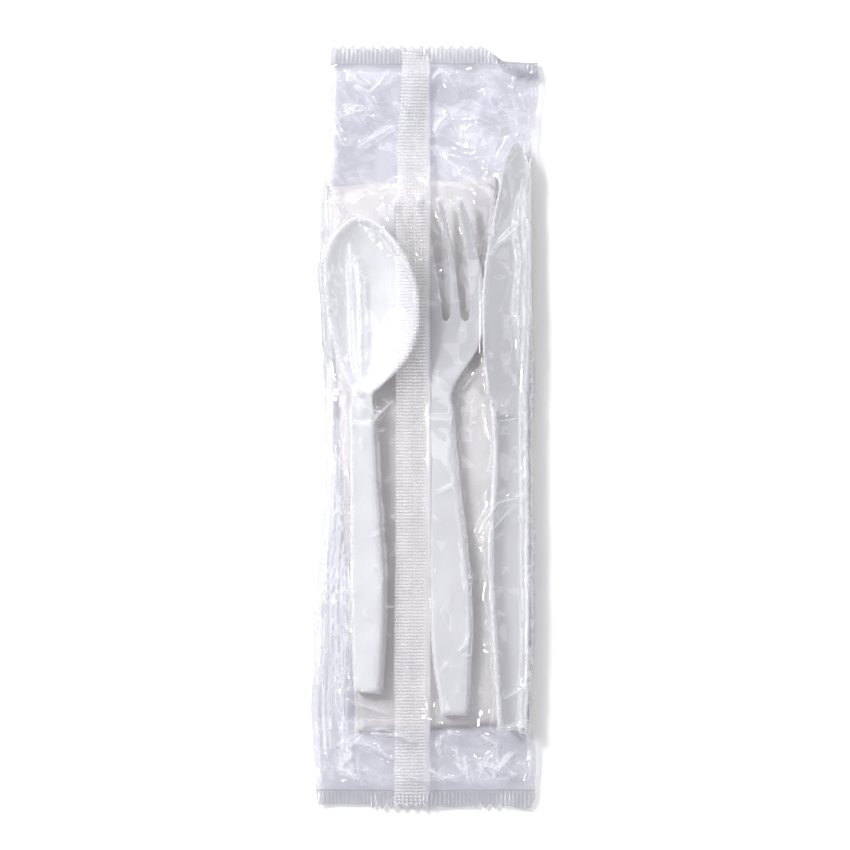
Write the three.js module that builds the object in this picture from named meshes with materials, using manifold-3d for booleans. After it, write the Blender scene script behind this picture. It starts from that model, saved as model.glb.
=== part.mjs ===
// A sealed cutlery pack: a clear flow-wrapped film pouch that holds a moulded
// spoon, fork and knife on a folded paper napkin.
// Millimetres, +Z up. The pack lies on its back: +Y runs from the handle ends to
// the bowl and tines, and the fin seam lies folded flat over the front.
import * as THREE from "three";
import { mergeVertices } from "three/addons/utils/BufferGeometryUtils.js";
import Module from "manifold-3d";

const wasm = await Module();
wasm.setup();

// ---------------------------------------------------------------- dimensions
const PACK_LENGTH = 227.2; // over the zig-zag ends
const HALF_LENGTH = PACK_LENGTH / 2;
const PACK_WIDTH = 67.8; // at the widest points of the pouch
const HALF_WIDTH = PACK_WIDTH / 2;
const FILM_WALL = 0.2; // film with its fold-over slack, as one wall
const SEAL_THICKNESS = 0.5; // two webs and the crimp
const SEAL_LENGTH = 5.6; // crimped band at each end
const TOOTH_PITCH = 2.95; // zig-zag cut of the ends
const TOOTH_DEPTH = 1.5;
const FIN_LEFT = -8.9; // crimped fin seam, folded over to the left
const FIN_RIGHT = 1.3; // its root
const FIN_THICKNESS = 0.35;
const FIN_GAP = 0.3; // air under the folded fin
const LEAK_WIDTH = 1.2; // unsealed channel where the fin crosses the end seal
const CLEARANCE = 0.55; // air between the contents and the film

const NAPKIN_WIDTH = 51.0;
const NAPKIN_LENGTH = 162.2;
const NAPKIN_YAW = (3.1 * Math.PI) / 180;
const NAPKIN_CENTRE = [0.5, -8.1];
const NAPKIN_BOTTOM = 0.55;
const NAPKIN_PANEL = 0.26; // one doubled sheet
const NAPKIN_GAP = 0.11; // air between panels
const NAPKIN_PANELS = 6;
const NAPKIN_STEP = 2.6; // how far the upper panels stop short at the open end
const NAPKIN_TOP =
  NAPKIN_BOTTOM + NAPKIN_PANELS * NAPKIN_PANEL + (NAPKIN_PANELS - 1) * NAPKIN_GAP;

const CUTLERY_WALL = 1.1; // moulded wall of the spoon, fork and knife
const FLANGE_DEPTH = 3.2; // depth of the channel handles
const FLANGE_DRAFT = 0.22; // how far a flange spreads for each mm of depth

// The pouch outline, left and right of the centre line: [y, x].
const OUTLINE_LEFT = [
  [-113.6, -31.2], [-110.3, -32.0], [-101.4, -32.8], [-92.5, -33.3],
  [-80.7, -HALF_WIDTH], [-70.4, -33.1], [-63.0, -32.9], [-51.1, -32.5],
  [-42.2, -31.7], [-30.4, -30.5], [-18.6, -29.6], [-6.7, -29.4],
  [8.0, -29.6], [22.8, -30.2], [36.2, -31.0], [43.6, -31.5],
  [50.9, -31.3], [59.8, -30.9], [68.7, -30.4], [74.6, -29.8],
  [82.0, -29.2], [96.8, -28.4], [104.2, -28.3], [113.6, -27.8],
];
const OUTLINE_RIGHT = [
  [-113.6, 32.5], [-107.3, 32.7], [-95.5, 32.4], [-86.6, 31.8],
  [-77.8, 31.5], [-63.0, 32.2], [-48.2, 32.7], [-36.3, 32.5],
  [-18.6, 31.8], [8.0, 32.2], [37.6, 32.0], [67.2, 31.8],
  [82.0, 31.9], [89.4, 32.5], [96.8, 33.4], [104.2, HALF_WIDTH],
  [113.6, 32.8],
];
// Height of the film where its top turns down at the left and right: [y, z].
const SIDE_LEFT = [
  [-113.6, 0.5], [-106, 0.9], [-90, 2.2], [-60, 2.8], [0, 2.8],
  [20, 5.4], [45, 6.6], [60, 5.2], [75, 3.2], [95, 1.6], [106, 0.9], [113.6, 0.5],
];
const SIDE_RIGHT = [
  [-113.6, 0.5], [-106, 0.9], [-92, 3.2], [-80, 6.8], [70, 6.8],
  [84, 5.0], [95, 1.8], [106, 0.9], [113.6, 0.5],
];

// Spoon: rims of the bowl and edges of the handle's flat face: [y, x].
const SPOON_LEFT = [
  [-77.9, -20.4], [-73.6, -20.6], [-51.1, -21.6], [0.9, -21.6], [9.5, -21.5],
  [12.9, -22.6], [18.8, -24.8], [25.6, -27.0], [32.4, -28.5], [40.6, -29.5],
  [46.5, -29.9], [49.6, -29.7], [55.1, -28.0], [59.1, -25.7], [61.3, -23.0], [62.2, -20.6],
];
const SPOON_RIGHT = [
  [-77.9, -14.4], [-76.3, -14.2], [-51.7, -13.0], [-44.0, -13.1], [-28.0, -14.1],
  [0.9, -15.7], [9.5, -15.6], [12.5, -12.6], [16.9, -8.2], [21.8, -4.6],
  [29.6, -2.4], [34.7, -2.1], [40.6, -2.8], [47.8, -5.1], [52.3, -7.3],
  [57.3, -10.9], [60.7, -14.6], [62.2, -18.0],
];
// Height of the spoon's middle line at its rims, and the bowl's depth: [y, z].
const SPOON_RIM = [
  [-77.9, 7.4], [-40, 7.7], [0, 8.6], [12, 9.1], [36, 9.4], [62.2, 8.7],
];
const SPOON_DEPTH = [
  [8, 0], [14, 1.5], [22, 4.0], [34, 5.4], [46, 4.9], [55, 3.2], [60, 1.5], [62.2, 0.4],
];
const SPOON_ROLL = 0.25; // slope across the spoon, its right side up

// Fork: plan outline of the head, and the edges of the handle's flat face.
const FORK_LEFT = [
  [-84.6, 5.5], [-58.5, 2.1], [-39.3, 1.7], [3.9, 1.3], [12, 1.2],
];
const FORK_RIGHT = [
  [-84.6, 11.8], [-69.9, 12.5], [-57.0, 13.1], [-46.3, 12.6], [-19.2, 9.6],
  [3.9, 7.6], [12, 7.6],
];
const FORK_HEAD = [
  [1.2, 9], [-1.2, 17], [-4.6, 23], [-5.9, 28], [-6.4, 33.3], [-8.0, 48],
  [-9.3, 62], [-8.9, 66.6], [-8.3, 67.4], [-7.6, 67.0], [-6.2, 60], [-4.4, 52],
  [-2.2, 42], [-0.9, 33.4], [-0.2, 31.7], [0.6, 31.6], [1.2, 33.3], [0.7, 42],
  [-0.9, 55], [-2.3, 64.4], [-2.3, 66.7], [-1.7, 67.4], [-1.0, 66.7], [0.9, 60.1],
  [2.7, 51.4], [4.1, 44.1], [5.0, 33.8], [5.5, 32.0], [6.3, 31.5], [7.0, 32.0],
  [7.3, 33.3], [7.0, 46], [5.7, 55.1], [3.7, 65.2], [3.6, 66.8], [4.2, 67.4],
  [4.9, 66.7], [7.0, 58.2], [8.6, 51.8], [9.7, 43.7], [10.8, 33.8], [11.2, 32.0],
  [12.0, 31.5], [12.7, 32.0], [13.0, 33.3], [12.6, 47.8], [11.7, 55.1],
  [10.5, 61.9], [9.7, 66.6], [10.3, 67.4], [11.0, 66.7], [13.4, 60.5],
  [15.3, 53.7], [17.2, 46.0], [18.0, 38.5], [17.9, 31], [16.2, 25], [12.9, 19],
  [9.6, 14], [7.6, 9],
];
const FORK_HEIGHT = [
  [-84.6, 6.9], [-40, 7.0], [0, 7.4], [12, 7.0], [22, 5.4], [34, 4.7],
  [44, 5.1], [56, 6.7], [67.4, 9.4],
];
const FORK_ROLL = 0.06; // its right side up

// Knife, hollow side up: the cutting edge or left wall, and the spine: [y, x].
const KNIFE_LEFT = [
  [-88.4, 21.9], [-66.2, 20.5], [-59.9, 20.1], [-48.5, 19.4], [-34.9, 19.0],
  [-28.0, 19.3], [-19.1, 20.1], [-5.6, 20.5], [3.1, 20.1], [8.0, 19.4],
  [11.9, 18.5], [19.0, 17.3], [24, 16.9], [40.6, 16.9], [45.9, 17.3],
  [52.4, 18.2], [59.8, 19.8], [67.2, 21.3], [73.1, 22.3], [77.6, 23.2],
  [82.0, 24.6], [84.6, 26.4],
];
const KNIFE_RIGHT = [
  [-88.4, 28.3], [-66.2, 28.8], [-50.8, 29.0], [-21.4, 28.8], [0.4, 28.7],
  [37.6, 29.7], [76, 29.8], [80.5, 29.3], [84.6, 27.6],
];
const KNIFE_HEIGHT = [
  [-88.4, 5.5], [-40, 5.5], [10, 5.8], [30, 6.2], [84.6, 5.6],
]; // of the floor's middle
const KNIFE_ROLL = -0.28; // its left side up
const RIB_HEIGHT = 2.6; // spine rib of the blade

// ------------------------------------------------------------------- helpers
const lerp = THREE.MathUtils.lerp;
const smooth = (x, a, b) => {
  const t = THREE.MathUtils.clamp((x - a) / (b - a), 0, 1);
  return t * t * (3 - 2 * t);
};

// Value at y of a table of [y, value], straight between its rows.
function at(table, y) {
  if (y <= table[0][0]) return table[0][1];
  for (let i = 1; i < table.length; i++)
    if (y <= table[i][0]) {
      const [y0, a] = table[i - 1],
        [y1, b] = table[i];
      return a + ((b - a) * (y - y0)) / (y1 - y0);
    }
  return table[table.length - 1][1];
}

// A closed box of nx by ny cells whose upper and lower grids are placed by
// place(v, u, isTop) -> [x, y, z], with v across and u along.
function closedGrid(nx, ny, place) {
  const g = new THREE.BoxGeometry(1, 1, 1, nx, ny, 1);
  g.deleteAttribute("normal");
  g.deleteAttribute("uv");
  g.clearGroups();
  const merged = mergeVertices(g, 1e-5);
  const p = merged.attributes.position;
  for (let i = 0; i < p.count; i++) {
    const v = p.getX(i) + 0.5,
      u = p.getY(i) + 0.5;
    p.setXYZ(i, ...place(v, u, p.getZ(i) > 0));
  }
  return merged;
}

// The point of a moulded wall's middle line, offset by half its thickness along
// the normal in the section plane.
function wallPoint(section, v, y, isTop, wall) {
  const e = 1e-3;
  const a = section(Math.max(0, v - e), y),
    b = section(Math.min(1, v + e), y),
    c = section(v, y);
  const tx = b[0] - a[0],
    tz = b[1] - a[1],
    l = Math.hypot(tx, tz) || 1;
  const s = (isTop ? 0.5 : -0.5) * wall;
  return [c[0] - (tz / l) * s, y, c[1] + (tx / l) * s];
}

function plate(stations, nv, section, wall) {
  const n = stations.length - 1;
  return closedGrid(nv, n, (v, u, isTop) =>
    wallPoint(section, v, stations[Math.round(u * n)], isTop, wall),
  );
}

const range = (a, b, n) =>
  Array.from({ length: n + 1 }, (_, i) => a + ((b - a) * i) / n);

function solid(geometry) {
  const g = geometry.index ? geometry : mergeVertices(geometry, 1e-5);
  return new wasm.Manifold(
    new wasm.Mesh({
      numProp: 3,
      vertProperties: new Float32Array(g.attributes.position.array),
      triVerts: new Uint32Array(g.index.array),
    }),
  );
}

function bare(geometry) {
  geometry.deleteAttribute("normal");
  geometry.deleteAttribute("uv");
  geometry.clearGroups();
  return mergeVertices(geometry, 1e-5);
}

// An upright prism over a plan polygon of [x, y].
function prism(points, z0, z1) {
  const shape = new THREE.Shape(points.map(([x, y]) => new THREE.Vector2(x, y)));
  const g = new THREE.ExtrudeGeometry(shape, { depth: z1 - z0, bevelEnabled: false });
  g.translate(0, 0, z0);
  return solid(bare(g));
}

// A slab along Y over a section polygon of [x, z].
function slabAlongY(points, y0, y1) {
  const shape = new THREE.Shape(points.map(([x, z]) => new THREE.Vector2(x, z)));
  const g = new THREE.ExtrudeGeometry(shape, { depth: y1 - y0, bevelEnabled: false });
  g.rotateX(Math.PI / 2); // (x, z, d) -> (x, -d, z)
  g.translate(0, y1, 0);
  return solid(bare(g));
}

function geometryOf(manifold) {
  const m = manifold.getMesh(),
    n = m.numProp,
    out = new Float32Array(m.numVert * 3);
  for (let i = 0; i < m.numVert; i++)
    out.set(m.vertProperties.subarray(i * n, i * n + 3), i * 3);
  const g = new THREE.BufferGeometry();
  g.setAttribute("position", new THREE.BufferAttribute(out, 3));
  g.setIndex(new THREE.BufferAttribute(new Uint32Array(m.triVerts), 1));
  g.computeVertexNormals();
  return g;
}

// Channel section of a handle, flat face up: left flange, face, right flange.
function channel(v, xl, xr, z, roll, depth, sign) {
  const mid = (xl + xr) / 2;
  const face = (x) => z + (x - mid) * roll;
  const spread = FLANGE_DRAFT * depth;
  if (v < 1 / 6) {
    const k = 1 - v * 6; // 1 at the rim, 0 at the fold
    return [xl - sign * k * (spread - roll * depth * sign) , face(xl) - sign * k * depth];
  }
  if (v > 5 / 6) {
    const k = (v - 5 / 6) * 6;
    return [xr + sign * k * (spread + roll * depth * sign), face(xr) - sign * k * depth];
  }
  const x = lerp(xl, xr, (v - 1 / 6) * 1.5);
  return [x, face(x)];
}

// --------------------------------------------------------------------- spoon
function spoonSection(v, y) {
  const xl = at(SPOON_LEFT, y),
    xr = at(SPOON_RIGHT, y),
    z = at(SPOON_RIM, y),
    mid = (xl + xr) / 2;
  const s = 2 * v - 1,
    x = mid + (s * (xr - xl)) / 2;
  const bowl = [x, z + (x - mid) * SPOON_ROLL - at(SPOON_DEPTH, y) * (1 - s * s)];
  const depth = FLANGE_DEPTH * smooth(y, 6, -3);
  const w = smooth(y, 12, 4);
  const handle = channel(v, xl, xr, z, SPOON_ROLL, depth, 1);
  return [lerp(bowl[0], handle[0], w), lerp(bowl[1], handle[1], w)];
}
const spoonStations = [
  ...range(-77.9, -3, 9), ...range(0, 12, 6), ...range(15, 51, 12), 54, 56.5, 58.8, 60.7, 62.2,
];

// The wall that closes a channel handle just inside its end. Its edges lie in
// the middle of the moulded wall.
function endWall(section, y) {
  const path = [0.012, 1 / 6, 5 / 6, 0.988].map((v) => section(v, y));
  return slabAlongY(path, y + 0.15, y + 0.15 + CUTLERY_WALL);
}

const spoonSolid = solid(plate(spoonStations, 12, spoonSection, CUTLERY_WALL)).add(
  endWall(spoonSection, -77.9),
);

// ---------------------------------------------------------------------- fork
function forkSection(v, y) {
  const w = smooth(y, 14, 7);
  const xl = at(FORK_LEFT, y),
    xr = at(FORK_RIGHT, y),
    z = at(FORK_HEIGHT, y);
  const x = lerp(-12, 21, v);
  const head = [x, z + (x - (xl + xr) / 2) * FORK_ROLL];
  const depth = FLANGE_DEPTH * smooth(y, 8, 0);
  const handle = channel(v, xl, xr, z, FORK_ROLL, depth, 1);
  return [lerp(head[0], handle[0], w), lerp(head[1], handle[1], w)];
}
const forkStations = [
  ...range(-84.6, -3, 10), ...range(-1, 9, 5), ...range(10.5, 15, 3), ...range(19, 68.5, 13),
];
// The head is cut to its plan outline; below it the prism is wider than the handle.
const forkSolid = solid(plate(forkStations, 12, forkSection, CUTLERY_WALL))
  .intersect(prism([[-8, 9], [-8, -100], [30, -100], [30, 9], ...FORK_HEAD.slice().reverse()], 0, 20))
  .add(endWall(forkSection, -84.6));

// --------------------------------------------------------------------- knife
// The blade is a thin floor with a ground edge at the left and a rib along the
// spine; the handle is a channel, hollow side up.
function knifeSection(v, y) {
  const xl = at(KNIFE_LEFT, y),
    xr = at(KNIFE_RIGHT, y),
    z = at(KNIFE_HEIGHT, y),
    mid = (at(KNIFE_LEFT, 30) + at(KNIFE_RIGHT, 30)) / 2;
  const floor = (x) => z + (x - mid) * KNIFE_ROLL;
  const w = smooth(y, 10, 3);
  const taper = smooth(y, 84.6, 76);
  const left = FLANGE_DEPTH * w,
    right = lerp(RIB_HEIGHT * taper, FLANGE_DEPTH, w);
  const bevel = Math.min(1.6, (xr - xl) * 0.25);
  if (v < 1 / 6) {
    const k = 1 - v * 6;
    return [
      xl + bevel * (1 - w) * (1 - k) + k * left * 0.05,
      floor(xl + bevel * (1 - w)) + k * left + k * 0.25 * (1 - w),
    ];
  }
  // the rib lies down into the floor where it runs out at the tip
  const corner = xr - 0.8 * smooth(right, 1.6, 0.4);
  if (v > 5 / 6) {
    const k = (v - 5 / 6) * 6;
    return [lerp(corner, xr + right * 0.3, k), lerp(floor(corner), floor(xr) + right, k)];
  }
  const x = lerp(xl + bevel * (1 - w), corner, (v - 1 / 6) * 1.5);
  return [x, floor(x)];
}
const knifeStations = [
  ...range(-88.4, 0, 11), 2, 4, 6, 8, 10, 12, ...range(16, 72, 10), 75, 78, 80.5, 82.6, 84.6,
];
const knifeSolid = solid(plate(knifeStations, 12, knifeSection, CUTLERY_WALL)).add(
  endWall(knifeSection, -88.4),
);

// -------------------------------------------------------------------- napkin
// Six doubled panels, folded to and fro across the width: the section is one
// strip that turns back at each side and ends, open, at the left.
function napkinOutline() {
  const pitch = NAPKIN_PANEL + NAPKIN_GAP,
    w = NAPKIN_WIDTH / 2,
    t = NAPKIN_PANEL,
    face = [], // up one face of the strip
    back = []; // and the other face, to be walked back down
  for (let i = 0; i < NAPKIN_PANELS - 1; i++) {
    const z = NAPKIN_BOTTOM + i * pitch,
      outside = [[w, z], [w, z + pitch + t]],
      inside = [[w - t, z + t], [w - t, z + pitch]];
    const mirrored = (line) => line.map(([x, h]) => [-x, h]);
    if (i % 2 === 0) {
      face.push(...outside);
      back.push(...inside);
    } else {
      face.push(...mirrored(inside));
      back.push(...mirrored(outside));
    }
  }
  const zLast = NAPKIN_BOTTOM + (NAPKIN_PANELS - 1) * pitch;
  return [
    [-w, NAPKIN_BOTTOM], ...face, [-w, zLast + t], [-w, zLast], ...back.reverse(),
    [-w, NAPKIN_BOTTOM + t],
  ];
}
const napkinBody = slabAlongY(napkinOutline(), -NAPKIN_LENGTH / 2, NAPKIN_LENGTH / 2);
const stepZ = NAPKIN_BOTTOM + 3 * (NAPKIN_PANEL + NAPKIN_GAP) - NAPKIN_GAP / 2;
const stepY = NAPKIN_LENGTH / 2 - NAPKIN_STEP;
const napkinSolid = napkinBody
  .subtract(
    prism(
      [
        [-40, stepY - 0.6], [14, stepY + 0.7], [22, stepY + 0.4], [24.6, stepY - 1.2],
        [25.2, stepY - 6], [40, stepY - 7], [40, stepY + 20], [-40, stepY + 20],
      ],
      stepZ,
      9,
    ),
  )
  .rotate([0, 0, (NAPKIN_YAW * 180) / Math.PI])
  .translate([NAPKIN_CENTRE[0], NAPKIN_CENTRE[1], 0]);

// ---------------------------------------------------------------------- film
// The film lies over the contents like a skin: its height is the lowest smooth
// surface that clears them and meets the side heights and the end seals.
const NX = 16,
  NY = 42;
const across = Array.from({ length: NX + 1 }, (_, i) => {
  const s = (2 * i) / NX - 1;
  return 0.5 + 0.5 * (0.45 * s + 0.55 * Math.sin((Math.PI / 2) * s));
});
const SEAL_START = HALF_LENGTH - SEAL_LENGTH;
const along = [
  -HALF_LENGTH - 0.0, -SEAL_START - 2.6, -SEAL_START,
  ...range(-SEAL_START + 3, SEAL_START - 3, NY - 6),
  SEAL_START, SEAL_START + 2.6, HALF_LENGTH,
];
const gridX = (i, j, inset) =>
  lerp(at(OUTLINE_LEFT, along[j]) + inset, at(OUTLINE_RIGHT, along[j]) - inset, across[i]);

// Highest content over each square millimetre, then over each grid point's cells.
const RX = 80,
  RY = 240;
const raster = new Float64Array(RX * RY);
function mark(x, y, z) {
  const k = Math.floor(y + RY / 2) * RX + Math.floor(x + RX / 2);
  raster[k] = Math.max(raster[k], z);
}
function markSolid(manifold) {
  const m = manifold.getMesh(),
    n = m.numProp,
    V = m.vertProperties,
    T = m.triVerts;
  for (let t = 0; t < T.length; t += 3) {
    const [a, b, c] = [0, 1, 2].map((k) => [0, 1, 2].map((d) => V[T[t + k] * n + d]));
    const size = Math.max(
      Math.hypot(a[0] - b[0], a[1] - b[1]),
      Math.hypot(b[0] - c[0], b[1] - c[1]),
      Math.hypot(c[0] - a[0], c[1] - a[1]),
    );
    const k = Math.max(1, Math.ceil(size / 1.5));
    for (let p = 0; p <= k; p++)
      for (let q = 0; q <= k - p; q++) {
        const r = k - p - q;
        mark(
          (a[0] * p + b[0] * q + c[0] * r) / k,
          (a[1] * p + b[1] * q + c[1] * r) / k,
          (a[2] * p + b[2] * q + c[2] * r) / k,
        );
      }
  }
}
[spoonSolid, forkSolid, knifeSolid, napkinSolid].forEach(markSolid);
const obstacle = along.map((y, j) =>
  across.map((a, i) => {
    const y0 = along[Math.max(0, j - 1)],
      y1 = along[Math.min(along.length - 1, j + 1)],
      x0 = gridX(Math.max(0, i - 1), j, 0) - 0.4,
      x1 = gridX(Math.min(NX, i + 1), j, 0) + 0.4;
    let high = 0;
    for (let yy = Math.floor(y0 + RY / 2); yy <= y1 + RY / 2; yy++)
      for (let xx = Math.floor(x0 + RX / 2); xx <= x1 + RX / 2; xx++)
        high = Math.max(high, raster[yy * RX + xx] || 0);
    return high ? high + CLEARANCE : 0;
  }),
);

const top = along.map((y, j) =>
  across.map((a, i) => {
    if (Math.abs(y) >= SEAL_START - 0.01) return SEAL_THICKNESS;
    const side = lerp(at(SIDE_LEFT, y), at(SIDE_RIGHT, y), a);
    return Math.max(side, obstacle[j][i], SEAL_THICKNESS);
  }),
);
for (let pass = 0; pass < 400; pass++)
  for (let j = 1; j < along.length - 1; j++) {
    if (Math.abs(along[j]) >= SEAL_START - 0.01) continue;
    for (let i = 1; i < NX; i++) {
      const mean = (top[j][i - 1] + top[j][i + 1] + top[j - 1][i] + top[j + 1][i]) / 4;
      top[j][i] = Math.max(mean, obstacle[j][i], SEAL_THICKNESS);
    }
  }
const index = (f, n) => Math.round(f * n);
const JN = along.length - 1;

const outer = solid(
  closedGrid(NX, JN, (v, u, isTop) => {
    const i = index(v, NX),
      j = index(u, JN);
    return [gridX(i, j, 0), along[j], isTop ? top[j][i] + FILM_WALL : 0];
  }),
);
// The hollow: it stops at the end seals.
const innerFirst = 2,
  innerLast = JN - 2;
const inner = solid(
  closedGrid(NX, innerLast - innerFirst, (v, u, isTop) => {
    const i = index(v, NX),
      j = innerFirst + index(u, innerLast - innerFirst);
    const atEnd = j === innerFirst || j === innerLast;
    return [
      gridX(i, j, FILM_WALL),
      along[j],
      isTop ? (atEnd ? FILM_WALL + 0.15 : top[j][i]) : FILM_WALL,
    ];
  }),
);

// The fin seam: a crimped strip rooted at its right edge and laid over to the left.
function filmTop(x, y) {
  let j = 0;
  while (j < JN - 1 && along[j + 1] < y) j++;
  const f = THREE.MathUtils.clamp((y - along[j]) / (along[j + 1] - along[j]), 0, 1);
  const row = (jj) => {
    let i = 0;
    while (i < NX - 1 && gridX(i + 1, jj, 0) < x) i++;
    const x0 = gridX(i, jj, 0),
      x1 = gridX(i + 1, jj, 0);
    return lerp(top[jj][i], top[jj][i + 1], (x - x0) / (x1 - x0));
  };
  return lerp(row(j), row(j + 1), f) + FILM_WALL;
}
// Highest film under the strip at y, so that the strip spans it straight across.
const finBase = (y) =>
  Math.max(...range(FIN_LEFT, FIN_RIGHT, 6).map((x) => filmTop(x, y)));
const finStations = range(-SEAL_START + 0.9, SEAL_START - 1.1, 34);
const finSolid = solid(
  closedGrid(3, finStations.length - 1, (v, u, isTop) => {
    const y = finStations[index(u, finStations.length - 1)];
    const k = index(v, 3);
    const x = [FIN_LEFT, FIN_RIGHT - 1.6, FIN_RIGHT - 1.2, FIN_RIGHT][k];
    const base = finBase(y);
    const lift = FIN_GAP * smooth(Math.abs(y), SEAL_START, SEAL_START - 6);
    if (isTop) return [x, y, base + lift + FIN_THICKNESS];
    return [x, y, k < 2 ? base + lift : filmTop(x, y) - 0.7]; // the hollow is cut out afterwards
  }),
);

// Zig-zag ends.
function teeth(sign, from, to) {
  const line = [];
  const n = Math.round((to - from) / TOOTH_PITCH);
  for (let i = 0; i <= n; i++) {
    const x = from + ((to - from) * i) / n;
    line.push([x, HALF_LENGTH]);
    if (i < n) line.push([x + TOOTH_PITCH / 2, HALF_LENGTH - TOOTH_DEPTH]);
  }
  return line.map(([x, y]) => [x, sign * y]);
}
const endCut = (line, sign) => prism([...line, [60, sign * 140], [-60, sign * 140]], -1, 20);
const bottomLine = [
  [-60, -112.0], [-17.5, -112.0], ...teeth(-1, -16.2, 1.5), [3, -112.6],
  ...teeth(-1, 14.8, 23.7), [31, -112.8], [60, -111],
];
const topLine = [[-60, 111.9], [-28, 111.9], ...teeth(1, -27.4, 16.8), [22.8, 108.6], [60, 108.0]];
const filmCut = endCut(topLine, 1).add(endCut(bottomLine, -1));
// The corner beyond the top cut is folded back over the front.
const cornerFlap = prism([[18.4, 108.4], [33.2, 107.6], [32.8, 103.4], [25, 105.2]], 0.4, 1.0);
// The unsealed channel beside the fin's root in the top seal.
const leak = prism(
  [
    [FIN_RIGHT + 0.2, SEAL_START - 1.5], [FIN_RIGHT + 0.2 + LEAK_WIDTH, SEAL_START - 1.5],
    [FIN_RIGHT + 0.2 + LEAK_WIDTH, HALF_LENGTH + 2], [FIN_RIGHT + 0.2, HALF_LENGTH + 2],
  ],
  FILM_WALL + 0.03,
  FILM_WALL + 0.3,
);
const filmSolid = outer.add(finSolid).add(cornerFlap).subtract(inner).subtract(leak).subtract(filmCut);

// ------------------------------------------------------------------ assembly
const whitePlastic = () =>
  new THREE.MeshStandardMaterial({ color: 0xf2f2f0, roughness: 0.42, metalness: 0 });
const clearFilm = new THREE.MeshStandardMaterial({
  color: 0xeeeef6, roughness: 0.12, metalness: 0, transparent: true, opacity: 0.3,
});
const tissue = new THREE.MeshStandardMaterial({ color: 0xe3e0dc, roughness: 0.95, metalness: 0 });

const pack = new THREE.Group();
function piece(name, manifold, material) {
  const mesh = new THREE.Mesh(geometryOf(manifold), material);
  mesh.name = name;
  pack.add(mesh);
}
piece("film_wrapper", filmSolid, clearFilm);
piece("spoon", spoonSolid, whitePlastic());
piece("fork", forkSolid, whitePlastic());
piece("knife", knifeSolid, whitePlastic());
piece("napkin", napkinSolid, tissue);

export default pack;
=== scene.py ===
"""A sealed cutlery pack: clear crumpled film over a spoon, a fork, a knife and a folded napkin."""

import math

import bpy
import numpy as np
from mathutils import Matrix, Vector
from mathutils.bvhtree import BVHTree
from mathutils.geometry import delaunay_2d_cdt


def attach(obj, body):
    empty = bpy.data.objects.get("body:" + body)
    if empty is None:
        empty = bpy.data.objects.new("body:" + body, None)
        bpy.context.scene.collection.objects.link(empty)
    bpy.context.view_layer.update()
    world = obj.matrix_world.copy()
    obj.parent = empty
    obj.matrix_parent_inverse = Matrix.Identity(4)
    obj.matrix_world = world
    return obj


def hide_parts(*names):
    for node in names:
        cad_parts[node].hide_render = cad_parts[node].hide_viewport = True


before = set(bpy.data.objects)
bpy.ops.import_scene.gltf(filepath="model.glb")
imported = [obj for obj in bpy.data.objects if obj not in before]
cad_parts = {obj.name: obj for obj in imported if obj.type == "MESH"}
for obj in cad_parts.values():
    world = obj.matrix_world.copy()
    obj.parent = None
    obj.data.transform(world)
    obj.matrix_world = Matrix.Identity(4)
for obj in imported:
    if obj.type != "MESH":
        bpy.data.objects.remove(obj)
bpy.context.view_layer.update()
MM = 0.001
rng = np.random.RandomState(20)

# ---------------------------------------------------------------- camera first
scene = bpy.context.scene
cam_data = bpy.data.cameras.new("camera")
cam = bpy.data.objects.new("camera", cam_data)
scene.collection.objects.link(cam)
CAM_H = 1.6
cam.location = (0.0, 0.00065, CAM_H)
cam.rotation_euler = (0.0, 0.0, 0.0)
cam_data.sensor_width = 36.0
cam_data.lens = 36.0 * (CAM_H - 0.006) / 0.2515
cam_data.clip_start = 0.05
cam_data.clip_end = 20.0
scene.camera = cam

# ------------------------------------------------------------------ dimensions
HALF_LENGTH = 113.6
SEAL_START = 107.8
FIN_LEFT, FIN_CRIMP_RIGHT, FIN_ROOT = -8.9, -0.2, 1.5

OUTLINE_LEFT = [
    (-113.6, -31.2), (-110.3, -32.0), (-101.4, -32.8), (-92.5, -33.3), (-80.7, -33.9),
    (-70.4, -33.1), (-63.0, -32.9), (-51.1, -32.5), (-42.2, -31.7), (-30.4, -30.5),
    (-18.6, -29.6), (-6.7, -29.4), (8.0, -29.6), (22.8, -30.2), (36.2, -31.0),
    (43.6, -31.5), (50.9, -31.3), (59.8, -30.9), (68.7, -30.4), (74.6, -29.8),
    (82.0, -29.2), (96.8, -28.4), (104.2, -28.3), (113.6, -27.8),
]
OUTLINE_RIGHT = [
    (-113.6, 32.5), (-107.3, 32.7), (-95.5, 32.4), (-86.6, 31.8), (-77.8, 31.5),
    (-63.0, 32.2), (-48.2, 32.7), (-36.3, 32.5), (-18.6, 31.8), (8.0, 32.2),
    (37.6, 32.0), (67.2, 31.8), (82.0, 31.9), (89.4, 32.5), (96.8, 33.4),
    (104.2, 33.9), (113.6, 32.8),
]
SPOON_LEFT = [
    (-77.9, -20.4), (-73.6, -20.6), (-51.1, -21.6), (0.9, -21.6), (9.5, -21.5),
    (12.9, -22.6), (18.8, -24.8), (25.6, -27.0), (32.4, -28.5), (40.6, -29.5),
    (46.5, -29.9), (49.6, -29.6), (53.0, -28.6), (56.5, -27.0), (59.5, -24.6), (61.6, -21.8),
]
SPOON_RIGHT = [
    (-77.9, -14.4), (-76.3, -14.2), (-51.7, -13.0), (-44.0, -13.1), (-28.0, -14.1),
    (0.9, -15.7), (9.5, -15.6), (12.5, -12.9), (16.9, -8.5), (21.8, -4.9),
    (29.6, -2.4), (34.7, -2.1), (40.6, -2.8), (47.8, -5.1), (52.3, -7.3),
    (57.3, -11.0), (60.4, -14.6), (61.6, -17.0),
]
SPOON_RIM = [(-77.9, 7.4), (-40, 7.7), (0, 8.6), (12, 9.1), (36, 9.4), (62.2, 8.7)]
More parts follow.
